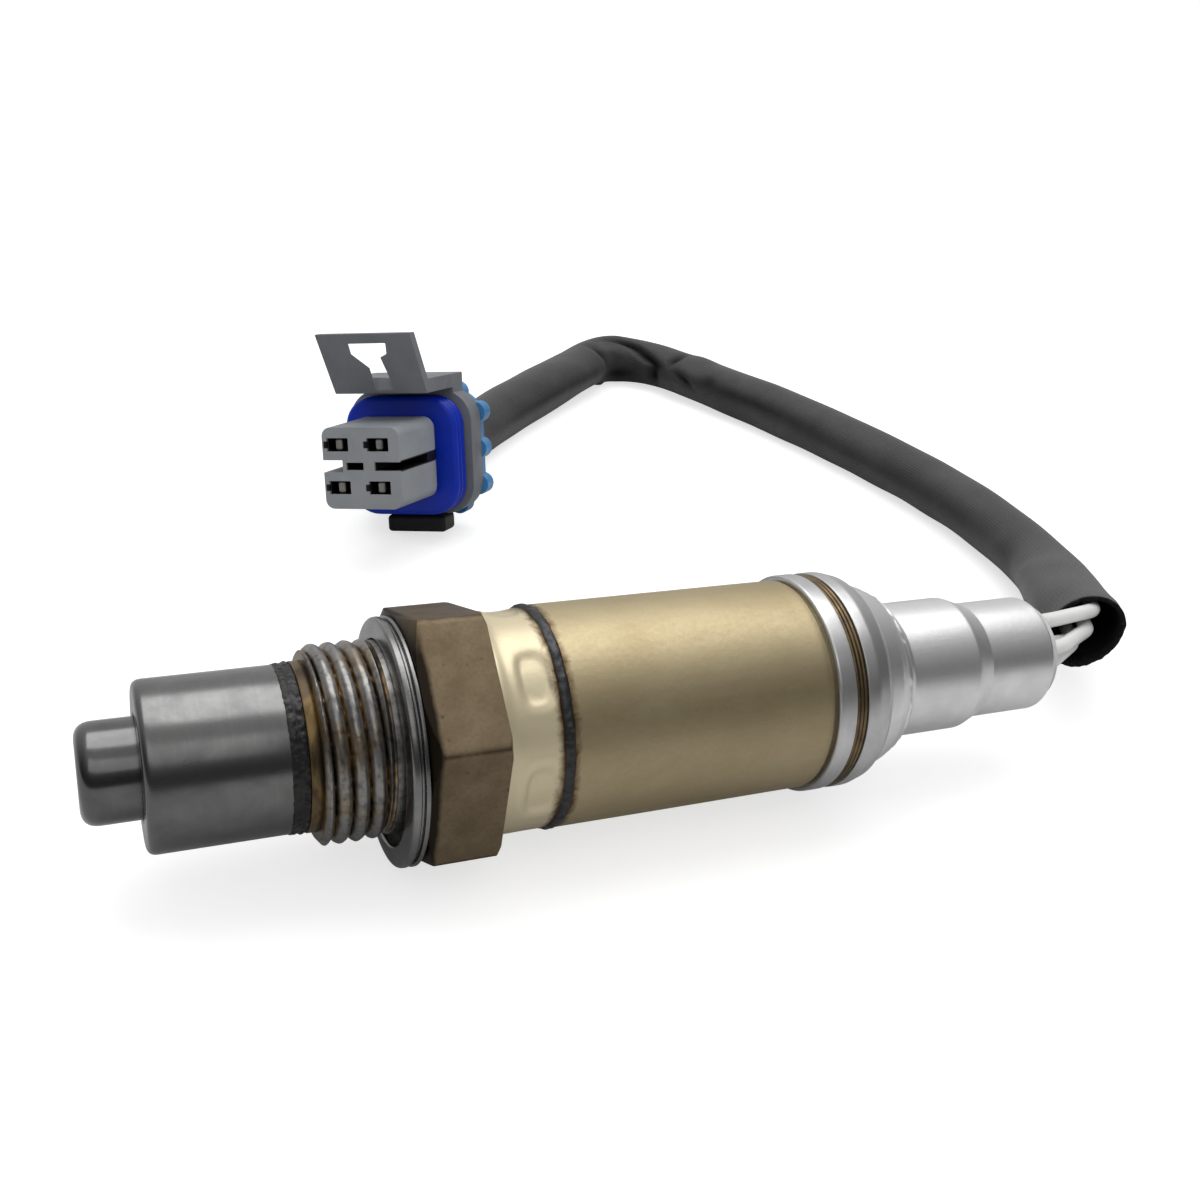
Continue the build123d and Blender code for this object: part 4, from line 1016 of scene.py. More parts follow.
@dataclass
class Lead(SubAssembly):
    """Braided lead on the floor, from its open mouth beside the cap to the connector's wires."""

    route: list[Colour] = field(default_factory=lambda: [
        (82.0, 3.5, 0.0), (92.5, 17.0, -4.0), (103.2, 33.0, -8.157), (106.2, 50.5, -8.157), (105.8, 68.0, -8.157),
        (102.6, 89.0, -8.157), (97.4, 109.0, -8.157), (92.6, 122.5, -8.157), (88.4, 133.6, -8.157),
        (83.0, 139.0, -8.157), (75.8, 139.2, -8.157), (68.0, 131.8, -8.157), (56.5, 119.9, -8.157),
        (45.6, 108.9, -8.157), (37.2, 99.4, -8.157), (31.9, 91.4, -7.0), LEAD_END,
    ])
    diameter: float = 8.8
    step: float = 0.55
    around: int = 96
    clearance: float = 0.03
    press: float = 0.5
    wall: float = 0.5
    hollow: float = 16.0
    far_hollow: float = 5.0
    girth_share: list[tuple[float, float]] = field(default_factory=lambda: [
        (0, 1.2), (8, 1.17), (20, 1.19), (36, 1.13), (50, 1.08), (70, 1.03), (95, 1.0), (112, 1.0), (124, 1.08),
        (134, 1.14), (143, 1.06), (150, 0.96), (157, 1.04), (163, 1.12), (169, 1.1), (176, 1.0), (190, 0.95),
        (205, 0.94), (228, 0.92),
    ])
    exit: Colour = (71.2, 0.0, 0.0)
    twist: float = 50.0
    mouth_shift: Colour = (0.37, -0.37, -0.37)
    mouth_size: tuple[float, float] = (1.1, 0.84)
    mouth_reach: float = 7.0

    def width_at(self, run: np.ndarray) -> np.ndarray:
        """Width over the diameter at a distance along the lead, from the photograph."""
        table = np.array(self.girth_share)
        return np.interp(run, table[:, 0], table[:, 1])

    def folds(self, run: np.ndarray, angle: np.ndarray) -> tuple[np.ndarray, np.ndarray]:
        """Height and painted shade of the folds: creases and swells that cross the lead, strongest at its kink.

        Each is a bell curve along the lead, on a slanted line, and fades to nothing round the far side.

        Args:
            run: Distance along the lead, one column.
            angle: Angles round it, one row.

        Returns:
            Height at each point as a share of the radius, and its painted shade from nought to one.
        """
        height = 0.012 * waves(angle, run, 5, 16, 5, 0.5)
        dark = np.zeros_like(height)
        for middle, reach, size, depth, turn, slant, spread in FOLDS:
            off = (angle - math.radians(turn) + np.pi) % (2 * np.pi) - np.pi
            at = run - middle - slant * self.diameter / 2 * np.sin(off)
            bell = np.exp(-((at / reach) ** 2) - (off / math.radians(spread)) ** 2)
            height = height + size * bell
            # painted shade: the darkness that the braid's finish paints into creases and bands
            dark = dark + depth * bell
        return height, np.clip(dark, 0, 1)

    def skin(self) -> tuple[np.ndarray, np.ndarray, float]:
        """Grid of the outer skin.

        A ring point lies off the centreline by half the width to the side, and by a little less up and
        down, times one plus the folds. The lead is flat where it lies: what would sink is lifted to the floor.

        Returns:
            Grid points, centreline points and the length.
        """
        line, run = even_line(spline_line("lead_route", self.route), self.step)
        _, side, up = frames_along(line)
        angle = circle(self.around)[None, :]
        near = np.exp(-((run / self.mouth_reach) ** 2))[:, None]
        wide, high = self.width_at(run)[:, None], np.clip(2 - self.width_at(run), 0.86, 1.04)[:, None]
        wide = (wide * (1 - near) + self.mouth_size[0] * near) * self.diameter / 2
        high = (high * (1 - near) + self.mouth_size[1] * near) * self.diameter / 2
        bulge = 1 + self.folds(run[:, None], angle)[0]
        turn = math.radians(self.twist) * near
        along_wide, along_high = wide * bulge * np.cos(angle - turn), high * bulge * np.sin(angle - turn)
        across = along_wide * np.cos(turn) - along_high * np.sin(turn)
        rise = along_wide * np.sin(turn) + along_high * np.cos(turn)
        middle = line + near * np.array(self.mouth_shift)
        points = middle[:, None] + across[..., None] * side[:, None] + rise[..., None] * up[:, None]
        low, height = FLOOR_Z + self.clearance, points[..., 2]
        pressed = low + self.press * np.exp((height - low - self.press) / self.press)
        points[..., 2] = np.where(height < low + self.press, pressed, height)
        return points, line, float(run[-1])

    def lining(self, outer: np.ndarray, line: np.ndarray, depth: float) -> np.ndarray:
        """Rings of the hollow inside one end, from the mouth inwards, drawn in towards a point.

        Args:
            outer: Outer rings from the mouth inwards.
            line: Centreline points from the mouth inwards.
            depth: Depth of the hollow in millimetres.

        Returns:
            Rings of the inner wall.
        """
        count = int(depth / self.step)
        share = np.linspace(0, 1, count)[:, None, None]
        middle = line[:count, None]
        keep = (1 - self.wall / (self.diameter / 2)) * (1 - 0.75 * share**3)
        centre = outer[:count].mean(1, keepdims=True)
        return centre * (1 - share**2) + middle * share**2 + (outer[:count] - centre) * keep

    def build(self, carried: list[Piece]) -> Piece:
        """Args:
            carried: Pieces that go with the lead; not used.

        Returns:
            The lead.
        """
        outer, line, length = self.skin()
        angle = circle(outer.shape[1])
        fray = 0.35 * waves(angle, np.zeros(1), 3, 12, 40) + 0.25 * waves(angle, np.zeros(1), 9, 6, 6)
        outer[0] += fray[:, None] * frames_along(line)[0][0] * 0.8
        front = self.lining(outer, line, self.hollow)[::-1]
        back = self.lining(outer[::-1], line[::-1], self.far_hollow)
        rings = np.concatenate([front, outer, back])
        rows = len(rings)
        piece = add_grid("lead_braid", rings, capped=True,
                         uv_size=(rows * self.step, math.pi * self.diameter), shading=Shading.SMOOTH)
        self.finishes.dress(piece, "lead", "lead_sleeve")
        piece.data.materials.append(self.finishes.get("lead_inside"))
        index = np.zeros(len(piece.data.polygons), np.int32)
        columns = outer.shape[1]
        index[: (len(front) - 7) * columns] = 1
        index[(rows - len(back) + 2) * columns:] = 1
        piece.data.polygons.foreach_set("material_index", index)
        # painted shade: the lining and the far end are darkened all over, the outer skin in its folds and dark bands
        # and at the mouth's rim
        painted_shade = np.full(len(piece.data.vertices), 0.9, np.float32)
        start = len(front) * columns
        run = np.arange(len(outer))[:, None] * length / (len(outer) - 1)
        depth = np.maximum(self.folds(run, angle[None, :])[1], 0.85 * np.exp(-((run / 0.7) ** 2)))
        painted_shade[start: start + depth.size] = depth.ravel()
        piece.data.attributes.new("painted_shade", "FLOAT", "POINT").data.foreach_set("value", painted_shade)
        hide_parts("lead_sleeve")
        tuple(np.array(self.exit) * MM)
        log.info("lead built, %.1f mm long", length)
        return piece


@dataclass
class Wires(SubAssembly):
    """Four white wires from the grommet into the lead, and their tails at the connector."""

    radius: float = 0.85
    pitch_r: float = 2.95
    bundle_r: float = 1.5
    first_angle: float = 68.0
    seat_x: float = 51.5
    bend_x: float = 72.3
    mouth: Colour = (82.1, 2.95, -0.95)
    into: Colour = (10.4, 14.0, -3.0)
    beyond: Colour = (0.372, 0.819, -0.437)
    entries: tuple[Colour, ...] = ((1.2, 3.1, 0.0), (0.4, 0.85, 0.0), (-1.3, -0.8, 0.0), (-0.6, -0.5, 2.4))
    out_of_lead: Colour = (-3.0, -7.0, 2.7)
    inside: float = 7.5

    def tube(self, name: str, route: list[np.ndarray], node: str) -> Piece:
        """Round wire along a spline: each ring is the radius times cosine and sine of its angle, off the line.

        Args:
            name: Name of the piece.
            route: Control points in millimetres.
            node: CAD node that it stands for.

        Returns:
            The wire.
        """
        line, _ = even_line(spline_line(name + "_route", route), 0.3)
        _, side, up = frames_along(line)
        angle = circle(32)[None, :, None]
        points = line[:, None] + self.radius * (np.cos(angle) * side[:, None] + np.sin(angle) * up[:, None])
        return self.stand(add_grid(name, points, capped=True), node, "wire", "wire_skin")

    def build(self, face: "Connector") -> list[Piece]:
        """Build all eight wires.

        Args:
            face: The connector, for its axes and cavities.

        Returns:
            The wires.
        """
        into = unit(np.array(self.into))
        view = np.array((VIEW_RIGHT, VIEW_UP, self.beyond))
        made = []
        for place in range(4):
            turn = math.radians(self.first_angle + 90 * place)
            y, z = self.pitch_r * math.cos(turn), self.pitch_r * math.sin(turn)
            stop = np.array(self.mouth) + np.array(self.entries[place]) @ view
            start = np.array((self.bend_x, y, z))
            route = [np.array((self.seat_x, y, z)), start, stop + 0.2 * (start - stop), stop, stop + 1.6 * into,
                     stop + self.inside * into]
            made.append(self.tube(f"white_wire_{place + 1}", route, f"wire_{place + 1}"))
        out = unit(np.array(self.out_of_lead))
        far_across = unit(face.across - out * (face.across @ out))
        far_up = np.cross(out, far_across)
        for place, (column, row) in enumerate(face.signs):
            x, y = face.cavity(column, row)
            side = self.bundle_r / math.sqrt(2)
            stop = np.array(LEAD_END) + column * side * far_across + row * side * far_up + 0.3 * out
            route = [face.point(x, y, 19.3), face.point(x, y, 26.3), stop + 2.2 * out, stop, stop - 3.5 * out]
            made.append(self.tube(f"white_tail_{place + 1}", route, f"tail_wire_{place + 1}"))
        return made


# Connector
@dataclass
class Connector(SubAssembly):
    """Sealed four-way connector: block with cavities, ribbed seal, housing with its latch, lock and rear seal."""

    across_given: Colour = (0.8051, -0.5698, 0.1649)
    core: float = 10.26
    seal_size: tuple[float, float, float] = (16.4, 16.6, 4.2)
    seal_front: float = 13.7
    seal_rear: float = 17.7
    rib_depth: float = 0.75
    ribs: int = 3
    snap: float = 0.06
    signs: tuple[tuple[int, int], ...] = ((-1, 1), (1, 1), (-1, -1), (1, -1))

    @property
    def outward(self) -> np.ndarray:
        """Direction out of the mating face."""
        return unit(np.array(OUTWARD))

    @property
    def across(self) -> np.ndarray:
        """Direction across the mating face."""
        given = np.array(self.across_given)
        return unit(given - self.outward * (given @ self.outward))

    @property
    def up(self) -> np.ndarray:
        """Direction up the mating face."""
        return np.cross(self.outward, self.across)

    def point(self, x: float | np.ndarray, y: float | np.ndarray, depth: float | np.ndarray) -> np.ndarray:
        """Place in the row frame of a point across, up and behind the mating face."""
        x, y, depth = np.broadcast_arrays(x, y, depth)
        return (np.array(FACE) + x[..., None] * self.across + y[..., None] * self.up
                - depth[..., None] * self.outward)

    def cavity(self, column: int, row: int) -> tuple[float, float]:
        """Centre of a cavity on the mating face."""
        return CAVITY_MIDDLE[0] + column * CAVITY_STEP[0], CAVITY_MIDDLE[1] + row * CAVITY_STEP[1]

    def rings(self, rows: np.ndarray, corner_points: int = 10, middle: tuple[float, float] = (0.0, 0.0)) -> np.ndarray:
        """Rings of rounded rectangles: four quarter circles, each about its own corner centre.

        Args:
            rows: Depth, width, height, round and drop of each ring.
            corner_points: Points on each quarter circle.
            middle: Shift across and up.

        Returns:
            Grid points in the row frame.
        """
        quarter = np.linspace(0, np.pi / 2, corner_points)
        angle = np.concatenate([quarter + corner * np.pi / 2 for corner in range(4)])[None, :]
        sign_x = np.repeat([1, -1, -1, 1], corner_points)[None, :]
        sign_y = np.repeat([1, 1, -1, -1], corner_points)[None, :]
        depth, wide, high, size, drop = (rows[:, column : column + 1] for column in range(5))
        x = sign_x * (wide / 2 - size) + size * np.cos(angle) + middle[0]
        y = sign_y * (high / 2 - size) + size * np.sin(angle) - drop + middle[1]
        return self.point(x, y, depth + 0 * angle)

    def seal(self) -> Piece:
        """Ribbed seal: the outer rings swell by a rounded wave, one crest for each rib.

        Returns:
            The seal.
        """
        wide, high, size = self.seal_size
        share = np.linspace(0, 1, 73)
        swell = np.sqrt(np.abs(np.sin(np.pi * self.ribs * share)))
        inset = self.rib_depth * (1 - swell)
        depth = self.seal_front + share * (self.seal_rear - self.seal_front)
        outer = np.stack([depth, wide - 2 * inset, high - 2 * inset, size - inset, 0 * inset + 0.15], -1)
        inner = np.array([[end, self.core, self.core, 1.2, 0] for end in (self.seal_rear, self.seal_front)])
        piece = add_grid("ribbed_seal", self.rings(np.vstack([outer, inner]))[::-1], close_rows=True)
        return self.stand(piece, "connector_seal", "seal", "seal_rubber")

    def reshape(self, piece: Piece, old: list[Colour], new: list[Colour]) -> Piece:
        """Move corners of a copied piece to new places.

        Args:
            piece: The piece.
            old: Places of the corners across, up and behind the mating face, in millimetres.
            new: Their new places, in the same order.

        Returns:
            The piece.
        """
        flat = np.zeros(len(piece.data.vertices) * 3, np.float32)
        piece.data.vertices.foreach_get("co", flat)
        off = flat.reshape(-1, 3).astype(float) / MM - np.array(FACE)
        local = np.stack([off @ self.across, off @ self.up, -(off @ self.outward)], -1)
        gap = np.linalg.norm(local[:, None] - np.array(old)[None], axis=2)
        local = np.where((gap.min(1) < self.snap)[:, None], np.array(new)[gap.argmin(1)], local)
        piece.data.vertices.foreach_set("co", (self.point(*local.T) * MM).astype(np.float32).ravel())
        piece.data.update()
        return piece

    def housing(self) -> Piece:
        """Housing whose latch plate has a level rim and a funnel-shaped window.

        The front plane's depth is that at the top plus the way down from there times the lean. The window's front
        corners keep to it, and its rear corners lie on the plane behind, a plate's thickness deeper.

        Returns:
            The housing.
        """
        top, depth_at_top, lean, rise, setback, thick = 17.15, 2.5, 0.642, 0.865, 1.35, 1.9
        window = [(-2.25, 15.89), (2.75, 15.89), (2.75, 14.37), (1.2, 14.37), (1.2, 10.67), (-0.7, 10.67),
                  (-0.7, 14.37), (-2.25, 14.37)]
        funnel = [(-2.2, 15.85), (2.95, 15.86), (2.65, 14.45), (1.62, 14.0), (2.3, 9.6), (-0.4, 9.55), (-0.3, 12.6),
                  (-2.25, 14.5)]
        rear = [(-3.05, 15.85), (2.95, 15.86), (2.65, 14.4), (1.62, 13.95), (1.5, 11.15), (-1.15, 11.1),
                (-1.15, 12.5), (-3.1, 14.4)]
        old, new, behind = ([(x, y, depth_at_top + (top - y) * lean) for x, y in ring]
                            for ring in (window, funnel, rear))
        old += [(x, y + rise, depth + setback) for x, y, depth in old]
        new += [(x, y, depth + thick) for x, y, depth in behind]
        old += [(-6.5, 18.01, 3.85), (6.7, 18.01, 3.85)]
        new += [(-6.5, 17.2, 4.37), (6.7, 17.2, 4.37)]
        piece = self.reshape(bevelled_copy("connector_housing", "latched_housing", 0.28), old, new)
        work = bmesh.new()
        work.from_mesh(piece.data)
        normal = unit(np.array((0.0, lean, 1.0)) @ np.array((self.across, self.up, -self.outward)))
        for sign in (-1, 1):
            flat = [face for face in work.faces if sign * np.dot(face.normal, normal) > 0.97]
            rim = {edge for face in flat for edge in face.edges
                   if sum(other in flat for other in edge.link_faces) == 1}
            bmesh.ops.delete(work, geom=flat, context="FACES_ONLY")
            bmesh.ops.triangle_fill(work, use_beauty=True, edges=list(rim), normal=Vector(sign * normal))
        loose = [edge for edge in work.edges if not edge.link_faces]
        bmesh.ops.delete(work, geom=loose, context="EDGES")
        bmesh.ops.recalc_face_normals(work, faces=work.faces)
        work.to_mesh(piece.data)
        work.free()
        piece.data.shade_smooth()
        piece.data.set_sharp_from_angle(angle=EDGE_ANGLE)
        return piece

    def lock(self) -> Piece:
        """Lock block with rounded corners, a little shorter and deeper than the solid.

        Returns:
            The lock.
        """
        old = [(x, y, depth) for x in (-3.555, 6.195) for y in (-10.96, -8.8) for depth in (15.5, 19.9)]
        new = [(-3.5 if x < 0 else 5.2, -11.2 if y < -9 else y, depth) for x, y, depth in old]
        return self.reshape(bevelled_copy("lock_block", "dark_lock", 0.55, 4), old, new)

    def pin(self, place: int) -> Piece:
        """Contact in one cavity: a slim blade with a rounded end close behind the face.

        Args:
            place: Number of the cavity, from nought.

        Returns:
            The contact.
        """
        rows = np.array([[0.5, 0.7, 1.15, 0.2, 0.0], [0.62, 0.95, 1.4, 0.25, 0.0], [6.0, 0.95, 1.4, 0.25, 0.0]])
        grid = self.rings(rows, 5, self.cavity(*self.signs[place]))
        piece = add_grid(f"contact_blade_{place + 1}", grid, capped=True)
        return self.stand(piece, f"plug_terminal_{place + 1}", "terminal", "contact_metal")

    def build(self) -> list[Piece]:
        """Build and dress the connector.

        Returns:
            Its pieces.
        """
        dress = self.finishes.dress
        block = bevelled_copy("connector_block", "cavity_block", 0.62, 4)
        return [
            self.seal(),
            dress(block, "block", "connector_plastic"),
            dress(self.housing(), "housing", "connector_plastic"),
            dress(self.lock(), "lock", "lock_plastic"),
            dress(bevelled_copy("rear_seal", "lobed_rear_seal", 0.4), "rear_seal", "rear_seal_rubber"),
            *(self.pin(place) for place in range(4)),
        ]


# Sensor
@dataclass
class Tip(SubAssembly):
    """Two protection tubes of steel and the weld bead that holds the outer one."""

    nose_x: float = -27.5
    nose_r: float = 4.44
    mouth_r: float = 1.1
    nose_round: float = 1.55
    nose_bore: float = 4.04
    flange_x: tuple[float, float] = (-6.5, -6.1)
    flange_r: float = 6.17
    tube_x: float = -22.6
    tube_r: float = 7.52
    tube_round: float = 0.9
    tube_bore: float = 7.02
    gas_mouth_r: float = 4.79
    bead_front: float = -10.8
    bead_rear: float = -9.3

    def build(self) -> None:
        """Build and dress the tip."""
        front, rear = self.flange_x
        nose = turned("nose_tube", densify(soften([
            (self.nose_x, self.mouth_r, 0.15), (self.nose_x, self.nose_r, self.nose_round), (front, self.nose_r, 0.05),
            (front, self.flange_r, 0.05), (rear, self.flange_r, 0.05), (rear, self.nose_bore, 0.05),
            (self.nose_x + 0.4, self.nose_bore, 1.15), (self.nose_x + 0.4, self.mouth_r, 0.1),
        ], 9), 2.5), around=160)
        self.stand(nose, "inner_protection_tube", "nose", "nose_steel")
        outer = turned("shield_tube", densify(soften([
            (self.tube_x, self.gas_mouth_r, 0.12), (self.tube_x, self.tube_r, self.tube_round),
            (self.bead_front, self.tube_r, 0.02), (self.bead_front, self.tube_bore, 0.02),
            (self.tube_x + 0.5, self.tube_bore, 0.4), (self.tube_x + 0.5, self.gas_mouth_r, 0.12),
        ], 9), 2.5), around=224)
        self.stand(outer, "outer_protection_tube", "tube", "tube_steel")
        self.stand(self.bead(), "front_weld_seam", "front_bead", "weld")

    def bead(self) -> Piece:
        """Weld bead: two rows of lumps side by side, plus ripples that lean round it.

        Returns:
            The bead.
        """
        angle = circle(AROUND)[None, :]
        share = np.linspace(0, 1, 22)[:, None]
        wander = 0.025 * waves(angle, np.zeros((1, 1)), 21, 12, 40)
        station = self.bead_front - 0.08 + share * (self.bead_rear - self.bead_front + 0.1) + wander * (1 - share)
        hump = np.abs(np.sin(2 * np.pi * share)) ** 0.6 * (0.7 + 0.3 * share)
        ripple = 0.03 * np.cos(64 * angle + 9 * share) + 0.06 * waves(angle, share * 3, 8, 18, 90, 4)
        radius = self.tube_r - 0.03 + hump * (0.13 + ripple)
        points = ring_points(station, radius, angle)
        inner = ring_points(np.array([[self.bead_rear], [self.bead_front]]), np.full((2, 1), 7.05), angle)
        return add_grid("front_bead", np.concatenate([points, inner])[::-1], close_rows=True)


@dataclass
class ThreadedShell(SubAssembly):
    """Spigot, neck, thread, relief, hexagon and rear collar as one surface, and the folded gasket."""

    thread_r: float = 9.0
    thread_depth: float = 0.9
    pitch: float = 1.5
    thread_front: float = -8.3
    thread_rear: float = -2.2
    crest_x: float = -3.3
    relief_r: float = 8.8
    neck_r: float = 7.66
    flat_r: float = 11.0
    corner_angle: float = -81.35
    chamfer_r: float = 11.1
    length: float = 7.0
    rear_r: float = 9.64
    rear_x: float = 12.6
    spigot_x: float = -12.3
    spigot_r: float = 6.99
    neck_x: float = -9.3
    bore_r: float = 4.7
    seat_x: float = -6.5
    seat_r: float = 6.2
    body_x: tuple[float, float] = (0.8, 11.2)
    body_bore: float = 7.6
    lip_bore: float = 6.0
    gasket_rise: float = -0.7

    def hexagon_radius(self, angle: np.ndarray) -> np.ndarray:
        """Radius of the hexagon: half its width over the cosine of the angle from the nearest flat's middle.

        The corners are eased by a soft least-of-two with a circle just inside them.
        """
        off = (angle - math.radians(self.corner_angle)) % (np.pi / 3) - np.pi / 6
        exact = self.flat_r / np.cos(off)
        cap = self.flat_r / math.cos(math.pi / 6) - 0.04
        return -np.log(np.exp(-16 * exact) + np.exp(-16 * cap)) / 16

    def thread_radius(self, station: np.ndarray, angle: np.ndarray) -> np.ndarray:
        """Radius of the right-hand thread: a rounded wave of the turn's share, held by the lead-in cone."""
        turn = (station - self.crest_x) / self.pitch - (angle + np.pi / 2) / (2 * np.pi)
        wave = (0.5 + 0.5 * np.cos(2 * np.pi * turn)) ** 0.27
        run_out = np.clip((self.thread_rear - station) / 0.5, 0, 1)
        run_in = np.clip((station - self.thread_front) / 0.5, 0, 1)
        low = self.thread_r - self.thread_depth
        radius = low + self.thread_depth * wave * np.maximum(run_out, 0.4) * (0.7 + 0.3 * run_in)
        radius = radius + 0.018 * waves(angle, station, 31, 20, 50, 5)
        return np.minimum(radius, 8.4 + 1.3 * (station - self.thread_front) + 0 * angle)

    def shell(self) -> Piece:
        """Grid of the shell: every row is a ring, and its radius is worked out for its part of the length.

        Returns:
            The shell.
        """
        angle = circle(AROUND)[None, :] + math.radians(self.corner_angle)
        hexagon = self.hexagon_radius(angle)
        thread_x = np.linspace(self.thread_front, self.thread_rear, 112)[:, None]
        thread = self.thread_radius(thread_x, angle)
        front_x = np.concatenate([np.zeros(1), np.linspace(0, 0.96, 13)])[:, None]
        front = np.minimum(hexagon, self.chamfer_r + front_x * math.sqrt(3))
        front[0] = self.relief_r
        side_x = np.linspace(1.2, self.length - 0.36, 12)[:, None]
        side = hexagon + 0 * side_x
        end_x = np.array([0.3, 0.22, 0.14, 0.07, 0.0])[:, None]
        end = np.minimum(hexagon, 12.17 + 1.7 * end_x)
        before_x = np.array([self.spigot_x, self.spigot_x, self.neck_x, self.neck_x, self.neck_x + 0.1,
                             self.thread_front - 0.1, self.thread_front])[:, None]
        before = np.array([self.bore_r, self.spigot_r, self.spigot_r, self.neck_r - 0.05, self.neck_r, self.neck_r,
                           self.neck_r - 0.03])[:, None]
        relief_x, relief = np.array([[self.thread_rear + 0.02]]), np.array([[self.relief_r]])
        low, high = self.body_x
        behind_x = np.array([self.length, self.rear_x, self.rear_x, high, high, low, low, self.seat_x,
                             self.seat_x])[:, None]
        behind = np.array([self.rear_r, self.rear_r, self.lip_bore, self.lip_bore, self.body_bore, self.body_bore,
                           self.seat_r, self.seat_r, self.bore_r])[:, None]
        blocks = [(before_x, before), (thread_x, thread), (relief_x, relief), (front_x, front), (side_x, side),
                  (self.length - end_x, end), (behind_x, behind)]
        rings = [ring_points(station, radius, angle) for station, radius in blocks]
        return add_grid("threaded_shell", np.concatenate(rings)[::-1], close_rows=True)

    def gasket(self) -> Piece:
        """Folded gasket, hung low on the relief.

        Returns:
            The gasket.
        """
        outline = densify(soften([
            (-1.75, 9.5, 0.3), (-1.5, 11.45, 0.55), (-0.8, 11.5, 0.3), (-0.7, 11.08, 0.05), (-0.5, 11.08, 0.05),
            (-0.43, 11.5, 0.16), (-0.01, 11.5, 0.16), (-0.01, 9.5, 0.1),
        ], 8), 0.5)
        return turned("folded_gasket", outline, self.gasket_rise)

    def build(self) -> None:
        """Build and dress the shell and its gasket."""
        self.stand(self.shell(), "hex_shell", "shell", "shell_plated")
        self.stand(self.gasket(), "gasket_ring", "gasket", "gasket_steel")


@dataclass
class Housing(SubAssembly):
    """Gold sleeve with its dented collar, and the weld bead between collar and barrel."""

    bore_r: float = 9.67
    collar_r: float = 10.45
    barrel_r: float = 10.62
    spigot_r: float = 10.22
    front: float = 7.0
    bead_front: float = 12.3
    bead_rear: float = 13.3
    barrel_rear: float = 39.9
    rear: float = 45.0
    dents: int = 6
    dent_angle: float = -171.9
    dent_x: float = 10.35
    dent_half: tuple[float, float] = (1.75, 3.05)
    dent_depth: float = 0.34

    def dent(self, station: np.ndarray, angle: np.ndarray) -> np.ndarray:
        """Depth of the crimp dents: a rounded rectangle with steep sides and a low raised lip round it."""
        pitch = 2 * np.pi / self.dents
        off = ((angle - math.radians(self.dent_angle) + pitch / 2) % pitch - pitch / 2) * self.collar_r
        across, along = np.abs(off) / self.dent_half[1], np.abs(station - self.dent_x) / self.dent_half[0]
        far = (across**3 + along**3) ** (1 / 3)
        well = 1 / (1 + np.exp((far - 0.78) * 13))
        lip = 0.1 * np.exp(-((far - 1.12) / 0.14) ** 2)
        return self.dent_depth * (well - lip)

    def sleeve(self) -> Piece:
        """Grid of the sleeve: flare, collar with dents, barrel and spigot, closed over its bore.

        Returns:
            The sleeve.
        """
        angle = circle(360)[None, :]
        collar_x = np.linspace(self.front, self.bead_front, 76)[:, None]
        flare = 0.3 * np.exp(-((collar_x - self.front) / 0.75) ** 2)
        collar = self.collar_r + flare - self.dent(collar_x, angle) + 0.02 * waves(angle, collar_x, 4, 10, 5, 0.8)
        barrel_x = np.concatenate([[self.bead_rear - 0.4], np.linspace(self.bead_rear, self.barrel_rear - 0.14, 40),
                                   [self.barrel_rear - 0.05, self.barrel_rear]])[:, None]
        barrel = self.barrel_r + 0.008 * waves(angle, barrel_x, 6, 12, 6, 0.4)
        barrel[0] = self.collar_r
        barrel[-2:] = self.barrel_r - np.array([[0.04], [0.13]])
        edge_x = np.array([self.barrel_rear, self.rear, self.rear, self.front])[:, None]
        edge = np.array([self.spigot_r, self.spigot_r, self.bore_r, self.bore_r])[:, None]
        start = ring_points(np.array([[self.front]]), np.array([[self.collar_r + 0.16]]), angle)
        rings = [start, ring_points(collar_x + 0.04, collar, angle), ring_points(barrel_x, barrel, angle),
                 ring_points(edge_x, edge, angle)]
        return add_grid("gold_sleeve", np.concatenate(rings)[::-1], close_rows=True)

    def bead(self) -> Piece:
        """Weld bead of the barrel: a round hump whose edges wander, with fine ripples.

        Returns:
            The bead.
        """
        angle = circle(AROUND)[None, :]
        share = np.linspace(0, 1, 18)[:, None]
        wander = 0.05 * waves(angle, np.zeros((1, 1)), 12, 10, 20)
        station = self.bead_front - 0.02 + share * (self.bead_rear - self.bead_front + 0.06) + wander
        radius = self.collar_r - 0.02 + (self.barrel_r - self.collar_r) * share + np.sin(np.pi * share) ** 0.7 * (
            0.2 + 0.05 * waves(angle, share * 2, 14, 16, 90, 4))
        inner = ring_points(np.array([[self.bead_rear - 0.1], [self.bead_front + 0.1]]), np.full((2, 1), 10.3), angle)
        return add_grid("rear_bead", np.concatenate([ring_points(station, radius, angle), inner])[::-1],
                        close_rows=True)

    def build(self) -> None:
        """Build and dress the sleeve and its bead."""
        self.stand(self.sleeve(), "housing_sleeve", "sleeve", "sleeve_plated")
        self.stand(self.bead(), "rear_weld_seam", "rear_bead", "weld")


